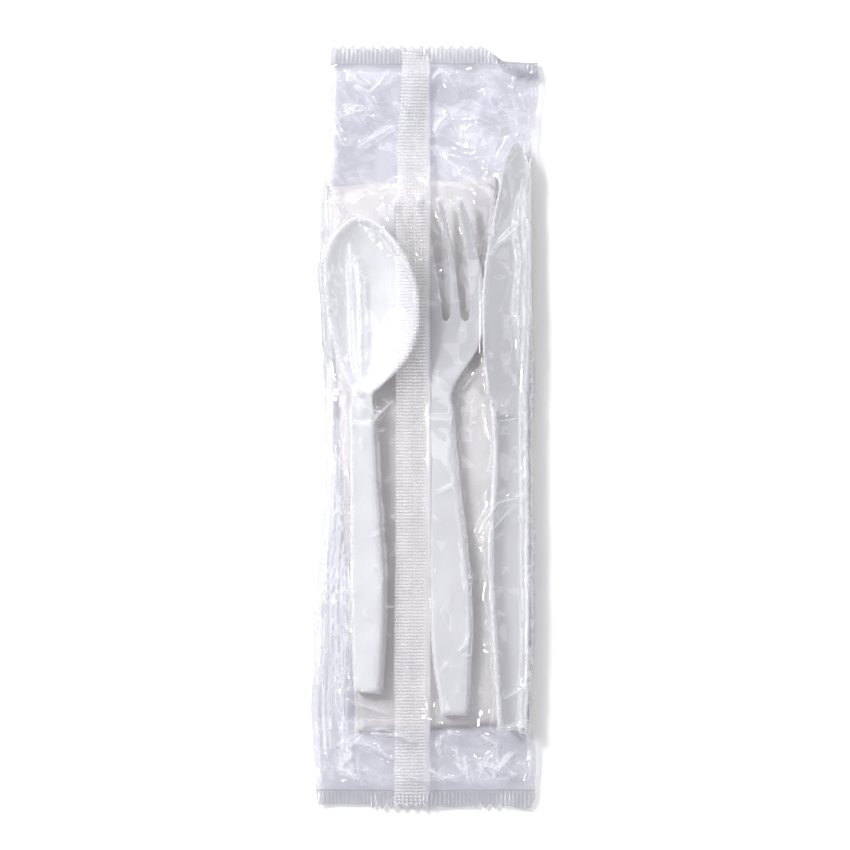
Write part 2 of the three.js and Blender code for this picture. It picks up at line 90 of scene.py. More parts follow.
SPOON_DEPTH = [
    (6, 0), (10, 0.2), (14, 1.5), (22, 4.0), (34, 5.4), (46, 4.9), (55, 3.2), (60, 1.5), (62.4, 0.3),
]
SPOON_ROLL = math.atan(0.25)

FORK_LEFT = [(-84.6, 5.5), (-58.5, 2.1), (-39.3, 1.7), (3.9, 1.3), (12, 1.2)]
FORK_RIGHT = [
    (-84.6, 11.8), (-69.9, 12.5), (-57.0, 13.1), (-46.3, 12.6), (-19.2, 9.6), (3.9, 7.6), (12, 7.6),
]
FORK_HEAD = [
    (0.9, 11), (0.0, 14), (-1.6, 17.5), (-3.6, 21.2), (-5.2, 25.2), (-6.1, 29.5), (-6.5, 33.3),
    (-7.2, 40), (-8.0, 48), (-8.9, 58), (-9.2, 64), (-9.0, 66.6), (-8.5, 67.4), (-7.8, 66.9),
    (-6.9, 63.5), (-5.6, 57.2), (-4.2, 51), (-2.9, 45), (-1.8, 38.5), (-1.0, 33.6), (-0.7, 32.3),
    (0.1, 31.6), (0.9, 32.2), (1.1, 33.6), (0.9, 40), (0.2, 48), (-0.9, 56), (-2.1, 63),
    (-2.4, 66.4), (-1.9, 67.4), (-1.2, 66.8), (-0.2, 63.4), (1.0, 59.6), (2.1, 54.5), (3.1, 49),
    (4.1, 43.6), (4.8, 37.5), (5.1, 33.6), (5.4, 32.2), (6.2, 31.5), (7.0, 32.2), (7.3, 33.5),
    (7.3, 39), (6.9, 46), (6.1, 53.5), (4.9, 60), (3.8, 64.6), (3.6, 66.6), (4.2, 67.4),
    (4.9, 66.6), (5.9, 62.6), (7.1, 57.8), (8.5, 51.8), (9.4, 46), (10.1, 39.5), (10.8, 33.6),
    (11.2, 32.1), (12.0, 31.4), (12.8, 32.1), (13.0, 33.4), (13.0, 39.5), (12.6, 47.3),
    (11.8, 54.6), (10.8, 61), (9.9, 64.8), (9.7, 66.6), (10.3, 67.4), (11.0, 66.8),
    (12.1, 64.2), (13.6, 60.2), (15.2, 54.0), (16.5, 48.2), (17.4, 42.5), (17.9, 37),
    (17.9, 31), (17.0, 26.4), (15.2, 22.2), (12.8, 18.6), (10.4, 15.4), (8.6, 12.6), (7.9, 10.5),
]
FORK_HEIGHT = [
    (-84.6, 6.9), (-40, 7.0), (0, 7.4), (12, 7.0), (22, 5.4), (34, 4.7), (44, 5.1), (56, 6.7), (67.4, 9.4),
]
FORK_ROLL = math.atan(0.06)

KNIFE_LEFT = [
    (-88.4, 21.9), (-66.2, 20.5), (-59.9, 20.1), (-48.5, 19.4), (-34.9, 19.0), (-28.0, 19.3),
    (-19.1, 20.1), (-5.6, 20.5), (3.1, 20.1), (8.6, 19.4), (9.6, 18.9), (10.2, 18.5), (14.0, 18.1), (19.0, 17.4),
    (24, 16.9), (40.6, 16.9), (45.9, 17.3), (52.4, 18.2), (59.8, 19.8), (67.2, 21.3),
    (73.1, 22.3), (77.6, 23.2), (81.0, 24.2), (83.4, 25.4),
]
KNIFE_RIGHT = [
    (-88.4, 28.3), (-66.2, 28.8), (-50.8, 29.0), (-21.4, 28.8), (0.4, 28.7), (37.6, 29.7),
    (76, 29.8), (80.5, 29.2), (82.6, 28.4), (83.4, 27.9),
]
KNIFE_HEIGHT = [(-88.4, 5.5), (-40, 5.5), (10, 5.8), (30, 6.2), (84.6, 5.6)]
KNIFE_ROLL = -math.atan(0.28)
KNIFE_REF = 23.3

NAPKIN_W, NAPKIN_L = 51.0, 162.2
NAPKIN_YAW = math.radians(3.1)
NAPKIN_C = (0.5, -8.1)
NAPKIN_BOTTOM = 0.55


# --------------------------------------------------------------------- helpers
def curve(rows):
    """A smooth curve through (y, value) rows that never overshoots them."""
    a = np.array(sorted(rows), float)
    x, y = a[:, 0], a[:, 1]
    h, d = np.diff(x), np.diff(a[:, 1]) / np.diff(x)
    m = np.zeros_like(y)
    m[0], m[-1] = d[0], d[-1]
    for i in range(1, len(x) - 1):
        if d[i - 1] * d[i] > 0:
            w1, w2 = 2 * h[i] + h[i - 1], h[i] + 2 * h[i - 1]
            m[i] = (w1 + w2) / (w1 / d[i - 1] + w2 / d[i])

    def f(t):
        t = np.clip(np.asarray(t, float), x[0], x[-1])
        i = np.clip(np.searchsorted(x, t, side="right") - 1, 0, len(h) - 1)
        s = (t - x[i]) / h[i]
        return (
            y[i] * (1 + 2 * s) * (1 - s) ** 2
            + h[i] * m[i] * s * (1 - s) ** 2
            + y[i + 1] * s * s * (3 - 2 * s)
            + h[i] * m[i + 1] * s * s * (s - 1)
        )

    return f


def smooth(x, a, b):
    t = np.clip((np.asarray(x, float) - a) / (b - a), 0, 1)
    return t * t * (3 - 2 * t)


def make_object(name, verts, faces, mats, face_mats=None, smooth_faces=True):
    """verts in mm."""
    me = bpy.data.meshes.new(name)
    me.from_pydata((np.asarray(verts) * MM).tolist(), [], [list(map(int, f)) for f in faces])
    me.validate()
    me.update()
    for m in mats:
        me.materials.append(m)
    if face_mats is not None and len(face_mats) == len(me.polygons):
        me.polygons.foreach_set("material_index", np.asarray(face_mats, np.int32))
    me.polygons.foreach_set("use_smooth", np.full(len(me.polygons), smooth_faces))
    ob = bpy.data.objects.new(name, me)
    scene.collection.objects.link(ob)
    return ob


def catmull(points, closed=True, step=0.4):
    """Points along a Catmull-Rom curve, about step apart."""
    p = np.asarray(points, float)
    n = len(p)
    out = []
    for i in range(n if closed else n - 1):
        if closed:
            a, b, c, d = p[i - 1], p[i], p[(i + 1) % n], p[(i + 2) % n]
        else:
            a, b, c, d = p[max(i - 1, 0)], p[i], p[i + 1], p[min(i + 2, n - 1)]
        k = max(1, int(round(np.linalg.norm(c - b) / step)))
        for j in range(k):
            t = j / k
            out.append(
                0.5 * (2 * b + (c - a) * t + (2 * a - 5 * b + 4 * c - d) * t * t + (3 * b - a - 3 * c + d) * t ** 3)
            )
    if not closed:
        out.append(p[-1])
    return np.array(out)


def resample(poly, step):
    """A closed polygon's points, evenly about step apart, keeping its corners' place within half a step."""
    p = np.vstack([poly, poly[:1]])
    seg = np.linalg.norm(np.diff(p, axis=0), axis=1)
    out = []
    for i, l in enumerate(seg):
        k = max(1, int(round(l / step)))
        for j in range(k):
            out.append(p[i] + (p[i + 1] - p[i]) * (j / k))
    out = np.array(out)
    keep = [0]
    for i in range(1, len(out)):
        if np.linalg.norm(out[i] - out[keep[-1]]) > step * 0.45:
            keep.append(i)
    return out[keep]


def edge_distance(points, poly):
    """Distance to a closed polygon's edge, and whether each point is inside it."""
    a = poly
    b = np.roll(poly, -1, axis=0)
    d = b - a
    dd = (d * d).sum(1)
    best = np.full(len(points), 1e9)
    inside = np.zeros(len(points), bool)
    for s in range(0, len(points), 4000):
        p = points[s : s + 4000]
        ap = p[:, None] - a[None]
        t = np.clip((ap * d).sum(2) / dd, 0, 1)
        q = ap - t[..., None] * d
        best[s : s + 4000] = np.sqrt((q * q).sum(2)).min(1)
        y = p[:, 1][:, None]
        cross = (a[:, 1] > y) != (b[:, 1] > y)
        with np.errstate(divide="ignore", invalid="ignore"):
            xi = a[:, 0] + (y - a[:, 1]) * d[:, 0] / d[:, 1]
        inside[s : s + 4000] = (cross & (p[:, 0][:, None] < xi)).sum(1) % 2 == 1
    return best, inside


def moulded(name, outline, place, thick, mat, edge=0.55, grid=0.85, folds=()):
    """A moulded wall over a flat outline: place(q, y) puts each point of its middle surface in space, and its
    edges are rounded."""
    ring0 = resample(outline, 0.42)
    tang = np.roll(ring0, -1, axis=0) - np.roll(ring0, 1, axis=0)
    tang /= np.maximum(np.linalg.norm(tang, axis=1), 1e-9)[:, None]
    area = 0.5 * np.sum(ring0[:, 0] * np.roll(ring0[:, 1], -1) - np.roll(ring0[:, 0], -1) * ring0[:, 1])
    inward = np.stack([-tang[:, 1], tang[:, 0]], 1) * (1 if area > 0 else -1)
    cloud = []
    for d in (0.07, 0.22, edge):
        c = ring0 + inward * d
        if d > 0.3:
            c = c[::2]
        dist, ins = edge_distance(c, ring0)
        cloud.append(c[ins & (dist > d * 0.93)])
    lo, hi = ring0.min(0), ring0.max(0)
    ys = np.arange(lo[1], hi[1], grid * 0.87)
    rows = []
    for k, y in enumerate(ys):
        xs = np.arange(lo[0] + (grid / 2 if k % 2 else 0), hi[0], grid)
        rows.append(np.stack([xs, np.full_like(xs, y)], 1))
    g = np.vstack(rows)
    dist, ins = edge_distance(g, ring0)
    clear = ins & (dist > edge + 0.3)
    for line, y0, y1, side in folds:
        # points in rows along each fold, so that it turns crisply
        clear &= (np.abs(g[:, 0] - line(g[:, 1])) > 0.62) | (g[:, 1] < y0) | (g[:, 1] > y1)
        yy = np.arange(y0, y1, 0.7)
        for off in (-0.42, -0.27, -0.10, 0.06, 0.22, 0.40):
            c = np.stack([line(yy) + side * off, yy], 1)
            d2, in2 = edge_distance(c, ring0)
            cloud.append(c[in2 & (d2 > 0.33)])
    cloud.append(g[clear])
    pts = np.vstack([ring0] + cloud)
    n0 = len(ring0)
    edges = [(i, (i + 1) % n0) for i in range(n0)]
    res = delaunay_2d_cdt([Vector(p) for p in pts], edges, [], 1, 1e-6)
    v2 = np.array([tuple(v) for v in res[0]])
    tris = np.array([f for f in res[2] if len(f) == 3])
    dist, _ = edge_distance(v2, ring0)
    e = 2e-3
    q, y = v2[:, 0], v2[:, 1]
    P = place(q, y)
    n = np.cross(place(q + e, y) - place(q - e, y), place(q, y + e) - place(q, y - e))
    n /= np.maximum(np.linalg.norm(n, axis=1), 1e-12)[:, None]
    t = thick(q, y) if callable(thick) else np.full(len(q), thick)
    k = np.clip(dist / edge, 0, 1)
    h = 0.5 * t * np.sqrt(np.clip(1 - (1 - k) ** 2, 0, 1))
    rim = dist < 1e-4
    h[rim] = 0
    top, bot = P + n * h[:, None], P - n * h[:, None]
    N = len(P)
    index = np.arange(N) + N
    index[rim] = np.arange(N)[rim]
    verts = np.vstack([top, bot])
    a, b, c = v2[tris[:, 0]], v2[tris[:, 1]], v2[tris[:, 2]]
    ccw = (b[:, 0] - a[:, 0]) * (c[:, 1] - a[:, 1]) - (b[:, 1] - a[:, 1]) * (c[:, 0] - a[:, 0]) > 0
    tris = np.where(ccw[:, None], tris, tris[:, ::-1])
    faces = np.vstack([tris, index[tris[:, ::-1]]])
    used = np.unique(faces)
    remap = -np.ones(len(verts), int)
    remap[used] = np.arange(len(used))
    return make_object(name, verts[used], remap[faces], [mat])


def bent(u, hw, phi, r):
    """Across a section: flat to hw, then turned by phi round a corner of radius r. Returns x and rise."""
    a = np.abs(u)
    k = r * np.tan(phi / 2)
    s = a - (hw - k)
    la = r * phi
    th = np.clip(s / r, 0, phi)
    over = np.maximum(s - la, 0)
    x = np.where(s < 0, a, hw - k + r * np.sin(th) + over * np.cos(phi))
    z = np.where(s < 0, 0, r * (1 - np.cos(th)) + over * np.sin(phi))
    return np.sign(u) * x, z


def end_turn(X, y, Z, hw, y_end, depth_sign):
    """The face turns down (or up) over the handle's end."""
    r, phi = 0.6, math.radians(84)
    k = r * math.tan(phi / 2)
    s = (y_end + k) - y
    th = np.clip(s / r, 0, phi)
    over = np.maximum(s - r * phi, 0)
    yy = np.where(s < 0, y, y_end + k - r * np.sin(th) - over * math.cos(phi))
    zz = np.where(s < 0, 0, r * (1 - np.cos(th)) + over * math.sin(phi))
    w = np.maximum(smooth(np.abs(X), hw + 0.25, hw - 0.25), smooth(y, y_end, y_end - 0.4))
    return y + (yy - y) * w, Z + depth_sign * zz * w


# ------------------------------------------------------------------- materials
def nodes_of(name):
    m = bpy.data.materials.new(name)
    m.use_nodes = True
    nt = m.node_tree
    nt.nodes.clear()
    out = nt.nodes.new("ShaderNodeOutputMaterial")
    return m, nt, out


def plastic(name, tint=(0.80, 0.80, 0.805), shaded_head_tint=None):
    m, nt, out = nodes_of(name)
    b = nt.nodes.new("ShaderNodeBsdfPrincipled")
    b.inputs["Base Color"].default_value = (*tint, 1)
    if shaded_head_tint:
        # the flat head is thinner than the folded handle; painted shade: the base colour turns darker grey from the
        # handle into the head, standing in for the shade the heads lie in
        where = nt.nodes.new("ShaderNodeTexCoord")
        split = nt.nodes.new("ShaderNodeSeparateXYZ")
        nt.links.new(where.outputs["Object"], split.inputs["Vector"])
        ramp = nt.nodes.new("ShaderNodeMapRange")
        ramp.inputs["From Min"].default_value = -0.010
        ramp.inputs["From Max"].default_value = 0.014
        nt.links.new(split.outputs["Y"], ramp.inputs["Value"])
        blend = nt.nodes.new("ShaderNodeMix")
        blend.data_type = "RGBA"
        blend.inputs[6].default_value = (*tint, 1)
        blend.inputs[7].default_value = (*shaded_head_tint, 1)
        nt.links.new(ramp.outputs["Result"], blend.inputs[0])
        nt.links.new(blend.outputs[2], b.inputs["Base Color"])
    b.inputs["IOR"].default_value = 1.49
    b.inputs["Subsurface Weight"].default_value = 0.12
    b.inputs["Subsurface Radius"].default_value = (1.0, 0.9, 0.8)
    b.inputs["Subsurface Scale"].default_value = 0.0012
    tc = nt.nodes.new("ShaderNodeTexCoord")
    n1 = nt.nodes.new("ShaderNodeTexNoise")
    n1.inputs["Scale"].default_value = 180.0
    n1.inputs["Detail"].default_value = 4.0
    nt.links.new(tc.outputs["Object"], n1.inputs["Vector"])
    rr = nt.nodes.new("ShaderNodeMapRange")
    rr.inputs["To Min"].default_value = 0.30
    rr.inputs["To Max"].default_value = 0.46
    nt.links.new(n1.outputs["Fac"], rr.inputs["Value"])
    nt.links.new(rr.outputs["Result"], b.inputs["Roughness"])
    n2 = nt.nodes.new("ShaderNodeTexNoise")
    n2.inputs["Scale"].default_value = 2600.0
    n2.inputs["Detail"].default_value = 3.0
    nt.links.new(tc.outputs["Object"], n2.inputs["Vector"])
    bump = nt.nodes.new("ShaderNodeBump")
    bump.inputs["Strength"].default_value = 0.12
    bump.inputs["Distance"].default_value = 0.00006
    nt.links.new(n2.outputs["Fac"], bump.inputs["Height"])
    nt.links.new(bump.outputs["Normal"], b.inputs["Normal"])
    nt.links.new(b.outputs["BSDF"], out.inputs["Surface"])
    return m


def tissue(name):
    m, nt, out = nodes_of(name)
    b = nt.nodes.new("ShaderNodeBsdfPrincipled")
    b.inputs["Roughness"].default_value = 0.95
    b.inputs["Specular IOR Level"].default_value = 0.15
    b.inputs["Sheen Weight"].default_value = 0.15
    b.inputs["Sheen Roughness"].default_value = 0.5
    tc = nt.nodes.new("ShaderNodeTexCoord")
    cloud = nt.nodes.new("ShaderNodeTexNoise")
    cloud.inputs["Scale"].default_value = 90.0
    cloud.inputs["Detail"].default_value = 6.0
    cloud.inputs["Roughness"].default_value = 0.65
    nt.links.new(tc.outputs["Object"], cloud.inputs["Vector"])
    ramp = nt.nodes.new("ShaderNodeValToRGB")
    ramp.color_ramp.elements[0].position = 0.3
    ramp.color_ramp.elements[0].color = (0.76, 0.738, 0.726, 1)
    ramp.color_ramp.elements[1].position = 0.7
    ramp.color_ramp.elements[1].color = (0.84, 0.818, 0.806, 1)
    nt.links.new(cloud.outputs["Fac"], ramp.inputs["Fac"])
    nt.links.new(ramp.outputs["Color"], b.inputs["Base Color"])
    # embossed dots and loose fibre
    vor = nt.nodes.new("ShaderNodeTexVoronoi")
    vor.inputs["Scale"].default_value = 900.0
    vor.inputs["Randomness"].default_value = 0.25
    nt.links.new(tc.outputs["Object"], vor.inputs["Vector"])
    fib = nt.nodes.new("ShaderNodeTexNoise")
    fib.inputs["Scale"].default_value = 2200.0
    fib.inputs["Detail"].default_value = 5.0
    nt.links.new(tc.outputs["Object"], fib.inputs["Vector"])
    add = nt.nodes.new("ShaderNodeMath")
    add.operation = "MULTIPLY_ADD"
    add.inputs[1].default_value = 0.6
    nt.links.new(vor.outputs["Distance"], add.inputs[0])
    nt.links.new(fib.outputs["Fac"], add.inputs[2])
    bump = nt.nodes.new("ShaderNodeBump")
    bump.inputs["Strength"].default_value = 0.5
    bump.inputs["Distance"].default_value = 0.00015
    nt.links.new(add.outputs["Value"], bump.inputs["Height"])
    nt.links.new(bump.outputs["Normal"], b.inputs["Normal"])
    nt.links.new(b.outputs["BSDF"], out.inputs["Surface"])
    return m


def clear_film(name, haze, clear, rough, ior=1.72, haze_color=(0.80, 0.80, 0.88), ripple=0.05, whitening_and_glint=0.0):
    m, nt, out = nodes_of(name)
    tr = nt.nodes.new("ShaderNodeBsdfTransparent")
    tr.inputs["Color"].default_value = (*clear, 1)
    gl = nt.nodes.new("ShaderNodeBsdfGlossy")
    gl.inputs["Color"].default_value = (1, 1, 1, 1)
    gl.inputs["Roughness"].default_value = rough
    fr = nt.nodes.new("ShaderNodeFresnel")
    fr.inputs["IOR"].default_value = ior
    tc = nt.nodes.new("ShaderNodeTexCoord")
    n = nt.nodes.new("ShaderNodeTexNoise")
    n.inputs["Scale"].default_value = 420.0
    n.inputs["Detail"].default_value = 5.0
    n.inputs["Roughness"].default_value = 0.55
    nt.links.new(tc.outputs["Object"], n.inputs["Vector"])
    bump = nt.nodes.new("ShaderNodeBump")
    bump.inputs["Strength"].default_value = ripple
    bump.inputs["Distance"].default_value = 0.00025
    nt.links.new(n.outputs["Fac"], bump.inputs["Height"])
    nt.links.new(bump.outputs["Normal"], gl.inputs["Normal"])
    nt.links.new(bump.outputs["Normal"], fr.inputs["Normal"])
    cap = nt.nodes.new("ShaderNodeMath")
    cap.operation = "MINIMUM"
    cap.inputs[1].default_value = 0.38
    nt.links.new(fr.outputs["Fac"], cap.inputs[0])
    m1 = nt.nodes.new("ShaderNodeMixShader")
    nt.links.new(cap.outputs["Value"], m1.inputs["Fac"])
    nt.links.new(tr.outputs["BSDF"], m1.inputs[1])
    nt.links.new(gl.outputs["BSDF"], m1.inputs[2])
    df = nt.nodes.new("ShaderNodeBsdfDiffuse")
    df.inputs["Color"].default_value = (*haze_color, 1)
    tl = nt.nodes.new("ShaderNodeBsdfTranslucent")
    tl.inputs["Color"].default_value = (*haze_color, 1)
    m3 = nt.nodes.new("ShaderNodeMixShader")
    m3.inputs["Fac"].default_value = 0.35
    nt.links.new(df.outputs["BSDF"], m3.inputs[1])
    nt.links.new(tl.outputs["BSDF"], m3.inputs[2])
    m2 = nt.nodes.new("ShaderNodeMixShader")
    hz = nt.nodes.new("ShaderNodeTexNoise")
    hz.inputs["Scale"].default_value = 60.0
    hz.inputs["Detail"].default_value = 3.0
    nt.links.new(tc.outputs["Object"], hz.inputs["Vector"])
    mr = nt.nodes.new("ShaderNodeMapRange")
    mr.inputs["To Min"].default_value = haze * 0.6
    mr.inputs["To Max"].default_value = haze * 1.4
    nt.links.new(hz.outputs["Fac"], mr.inputs["Value"])
    if whitening_and_glint:
        # film turns white where it has been creased; the same mask also stands in for the glints along the creases, so
        # this is partly real whitening and partly painted highlight
        at = nt.nodes.new("ShaderNodeAttribute")
        at.attribute_name = "crease_white_and_glint"
        more = nt.nodes.new("ShaderNodeMath")
        more.operation = "MULTIPLY_ADD"
        more.inputs[1].default_value = whitening_and_glint
        nt.links.new(at.outputs["Fac"], more.inputs[0])
        nt.links.new(mr.outputs["Result"], more.inputs[2])
        nt.links.new(more.outputs["Value"], m2.inputs["Fac"])
    else:
        nt.links.new(mr.outputs["Result"], m2.inputs["Fac"])
    nt.links.new(m1.outputs["Shader"], m2.inputs[1])
    nt.links.new(m3.outputs["Shader"], m2.inputs[2])
    nt.links.new(m2.outputs["Shader"], out.inputs["Surface"])
    return m


mat_plastic = plastic("white_plastic")
# painted shade: the fork's and knife's heads get a darker grey base colour
mat_shaded_head = plastic("white_plastic_painted_shade_head", shaded_head_tint=(0.67, 0.67, 0.68))
mat_tissue = tissue("napkin_tissue")
mat_film = clear_film("clear_film", 0.05, (0.918, 0.918, 0.945), 0.025, ior=1.6, haze_color=(0.93, 0.93, 0.97), ripple=0.01, whitening_and_glint=0.50)
mat_back = clear_film("clear_film_back", 0.05, (0.885, 0.885, 0.92), 0.04, ior=1.6, ripple=0.02)
mat_crimp = clear_film("crimped_film", 0.47, (0.95, 0.95, 0.96), 0.20, ior=1.85, haze_color=(0.965, 0.95, 0.965))
# painted shade: the sealed ends get a darker tint and a dark grey haze, standing in for the shadow along their cut
# edges
mat_seal = clear_film("sealed_ends", 0.38, (0.76, 0.76, 0.80), 0.12, ior=1.7, haze_color=(0.52, 0.52, 0.56))


# ----------------------------------------------------------------------- spoon
def spoon_piece():
    L, R, Z0, D = curve(SPOON_LEFT), curve(SPOON_RIGHT), curve(SPOON_RIM), curve(SPOON_DEPTH)
    c, s = math.cos(SPOON_ROLL), math.sin(SPOON_ROLL)
    Y0, F = -77.9, 3.3

    def flange(y):
        return F * smooth(y, 7, -3)

    def place(q, y):
        xl, xr = L(y), R(y)
        mid, hw = (xl + xr) / 2, (xr - xl) / 2 / c
        u = (q - mid) / c
        phi = math.radians(77) * smooth(y, 8, 0) * smooth(y, Y0 - 0.4, Y0)
        X, dz = bent(u, hw, phi, 0.36)
        t = np.clip(u / np.maximum(hw, 0.5), -1, 1)
        Z = -dz - D(y) * (1 - np.abs(t) ** 2.3)
        Z = Z + 0.32 * smooth(y, 1.9, 0.7) * smooth(np.abs(u), hw, hw - 0.5) - 0.32
        # a shallow rib of the neck runs into the bowl
        Z = Z + 0.35 * np.exp(-(u / 1.6) ** 2) * smooth(y, 22, 14) * smooth(y, 1.5, 6)
        yy, Z = end_turn(X, y, Z, hw, Y0, -1)
        return np.stack([mid + X * c - Z * s, yy, Z0(y) + X * s + Z * c], 1)

    ys = np.concatenate([np.arange(Y0, 61.6, 0.6), [61.6]])
    left = np.stack([L(ys) - flange(ys), ys], 1)
    right = np.stack([R(ys) + flange(ys), ys], 1)[::-1]
    tip = catmull([left[-4], left[-1], (-19.4, 62.4), right[0], right[3]], closed=False, step=0.4)
    tip = tip[(tip[:, 1] > 61.6)]
    xl, xr = float(L(Y0)), float(R(Y0))
    tab = np.array([(xr + 0.2, Y0), (xr + 0.85, Y0 - F * 0.98), (xl - 0.85, Y0 - F * 0.98), (xl - 0.2, Y0)])
    folds = [(L, Y0 + 0.8, 6.5, -1), (R, Y0 + 0.8, 6.5, 1)]
    return moulded("spoon_moulding", np.vstack([left, tip, right, tab]), place, 1.1, mat_plastic, edge=0.45, folds=folds)


# ------------------------------------------------------------------------ fork
def fork_piece():
    L, R, Z0 = curve(FORK_LEFT), curve(FORK_RIGHT), curve(FORK_HEIGHT)
    c, s = math.cos(FORK_ROLL), math.sin(FORK_ROLL)
    Y0, F = -84.6, 3.3

    def flange(y):
        return F * smooth(y, 8, 0)

    def place(q, y):
        xl, xr = L(y), R(y)
        mid, hw = (xl + xr) / 2, (xr - xl) / 2 / c
        w = smooth(y, 9, 13)
        hwb = hw + w * 30
        u = (q - mid) / c
        phi = math.radians(77) * smooth(y, 9, 2) * smooth(y, Y0 - 0.4, Y0)
        X, dz = bent(u, hwb, phi, 0.36)
        Z = -dz
        Z = Z + 0.32 * smooth(y, 3.4, 2.2) * smooth(np.abs(u), hw, hw - 0.5) - 0.32
        # the tines' tops are a little hollow between their edges, and the palm dips
        Z = Z - 0.5 * smooth(y, 14, 22) * smooth(y, 34, 26) * np.exp(-(u / 9.0) ** 2)
        yy, Z = end_turn(X, y, Z, hw, Y0, -1)
        return np.stack([mid + X * c - Z * s, yy, Z0(y) + X * s + Z * c], 1)

    ys = np.arange(Y0, 10.2, 0.6)
    left = np.stack([L(ys) - flange(ys), ys], 1)[::-1]
    right = np.stack([R(ys) + flange(ys), ys], 1)
    head = catmull(FORK_HEAD, closed=False, step=0.35)
    xl, xr = float(L(Y0)), float(R(Y0))
    tab = np.array([(xl - 0.2, Y0), (xl - 0.85, Y0 - F * 0.98), (xr + 0.85, Y0 - F * 0.98), (xr + 0.2, Y0)])
    poly = np.vstack([left, tab, right, head[::-1]])
    thick = lambda q, y: 1.15 + 0.35 * smooth(y, 20, 34)
    folds = [(L, Y0 + 0.8, 7.5, -1), (R, Y0 + 0.8, 7.5, 1)]
    return moulded("fork_moulding", poly, place, thick, mat_shaded_head, edge=0.5, grid=0.8, folds=folds)


# ----------------------------------------------------------------------- knife
def knife_piece():
    L, R, Z0 = curve(KNIFE_LEFT), curve(KNIFE_RIGHT), curve(KNIFE_HEIGHT)
    c, s = math.cos(KNIFE_ROLL), math.sin(KNIFE_ROLL)
    Y0, F, RIB = -88.4, 3.3, 2.9

    def left_depth(y):
        return F * smooth(y, 8.4, 4)

    def right_depth(y):
        return (RIB * smooth(y, 84.6, 74) + 0.05) * (1 - smooth(y, 10, 3)) + F * smooth(y, 10, 3)

    def place(q, y):
        xl, xr = L(y), R(y)
        mid, hw = (xl + xr) / 2, (xr - xl) / 2 / c
        u = (q - mid) / c
        phi_l = math.radians(80) * smooth(y, 9, 5) * smooth(y, Y0 - 0.4, Y0)
        phi_r = math.radians(79) * smooth(y, 84.6, 79) * smooth(y, Y0 - 0.4, Y0)
        X1, z1 = bent(u, hw, phi_l, 0.36)
        X2, z2 = bent(u, hw, phi_r, 0.36)
        X, Z = np.where(u < 0, X1, X2), np.where(u < 0, z1, z2)
        # ground edge of the blade
        blade = smooth(y, 8.5, 11)
        e = (u + hw)
        Z = Z + blade * 0.45 * np.clip(1 - e / 1.9, 0, 1)
        # the handle's channel is deeper than the blade, behind a curved step
        y_step = 3.2 - 0.035 * (X * X)
        Z = Z - 1.0 * smooth(y, y_step + 0.9, y_step - 0.9) * smooth(np.abs(u), hw + 0.1, hw - 0.9)
        yy, Z = end_turn(X, y, Z, hw, Y0, 1)
        XX = (mid - KNIFE_REF) / c + X
        return np.stack([KNIFE_REF + XX * c - Z * s, yy, Z0(y) + XX * s + Z * c], 1)

    ys = np.concatenate([np.arange(Y0, 83.4, 0.45), [83.4]])
    teeth = 0.34 * np.abs(((ys - 10.5) / 2.6) % 1 - 0.5) * 2 * smooth(ys, 11, 13) * smooth(ys, 66, 60)
    left = np.stack([L(ys) - left_depth(ys) + teeth, ys], 1)
    right = np.stack([R(ys) + right_depth(ys), ys], 1)[::-1]
    tip = np.array([(25.9, 84.1), (26.5, 84.5), (27.1, 84.6), (27.6, 84.2)])
    xl, xr = float(L(Y0)), float(R(Y0))
    tab = np.array([(xr + 0.2, Y0), (xr + 0.7, Y0 - F * 0.95), (xl - 0.7, Y0 - F * 0.95), (xl - 0.2, Y0)])

    def thick(q, y):
        e = q - L(y)
        t = 1.1 - 0.55 * smooth(y, 8, 11) * np.clip(1 - e / 1.9, 0, 1)
        return np.maximum(t, 0.5)

    folds = [(L, Y0 + 0.8, 6.5, -1), (R, Y0 + 0.8, 80.0, 1)]
    return moulded("knife_moulding", np.vstack([left, tip, right, tab]), place, thick, mat_shaded_head, edge=0.45, folds=folds)


# ---------------------------------------------------------------------- napkin
def fractal(x, y, seed, scale, octaves=4):
    """Smooth periodic-free noise from a few turned sine sheets, the same on each run."""
    r = np.random.RandomState(seed)
    out = np.zeros_like(x, float)
    amp, total = 1.0, 0.0
    for _ in range(octaves):
        for _ in range(5):
            a = r.uniform(0, math.tau)
            f = math.tau / scale * r.uniform(0.7, 1.3)
            out += amp * np.sin((x * math.cos(a) + y * math.sin(a)) * f + r.uniform(0, math.tau))
        total += amp * 2.2
        amp *= 0.5
        scale *= 0.5
    return out / total


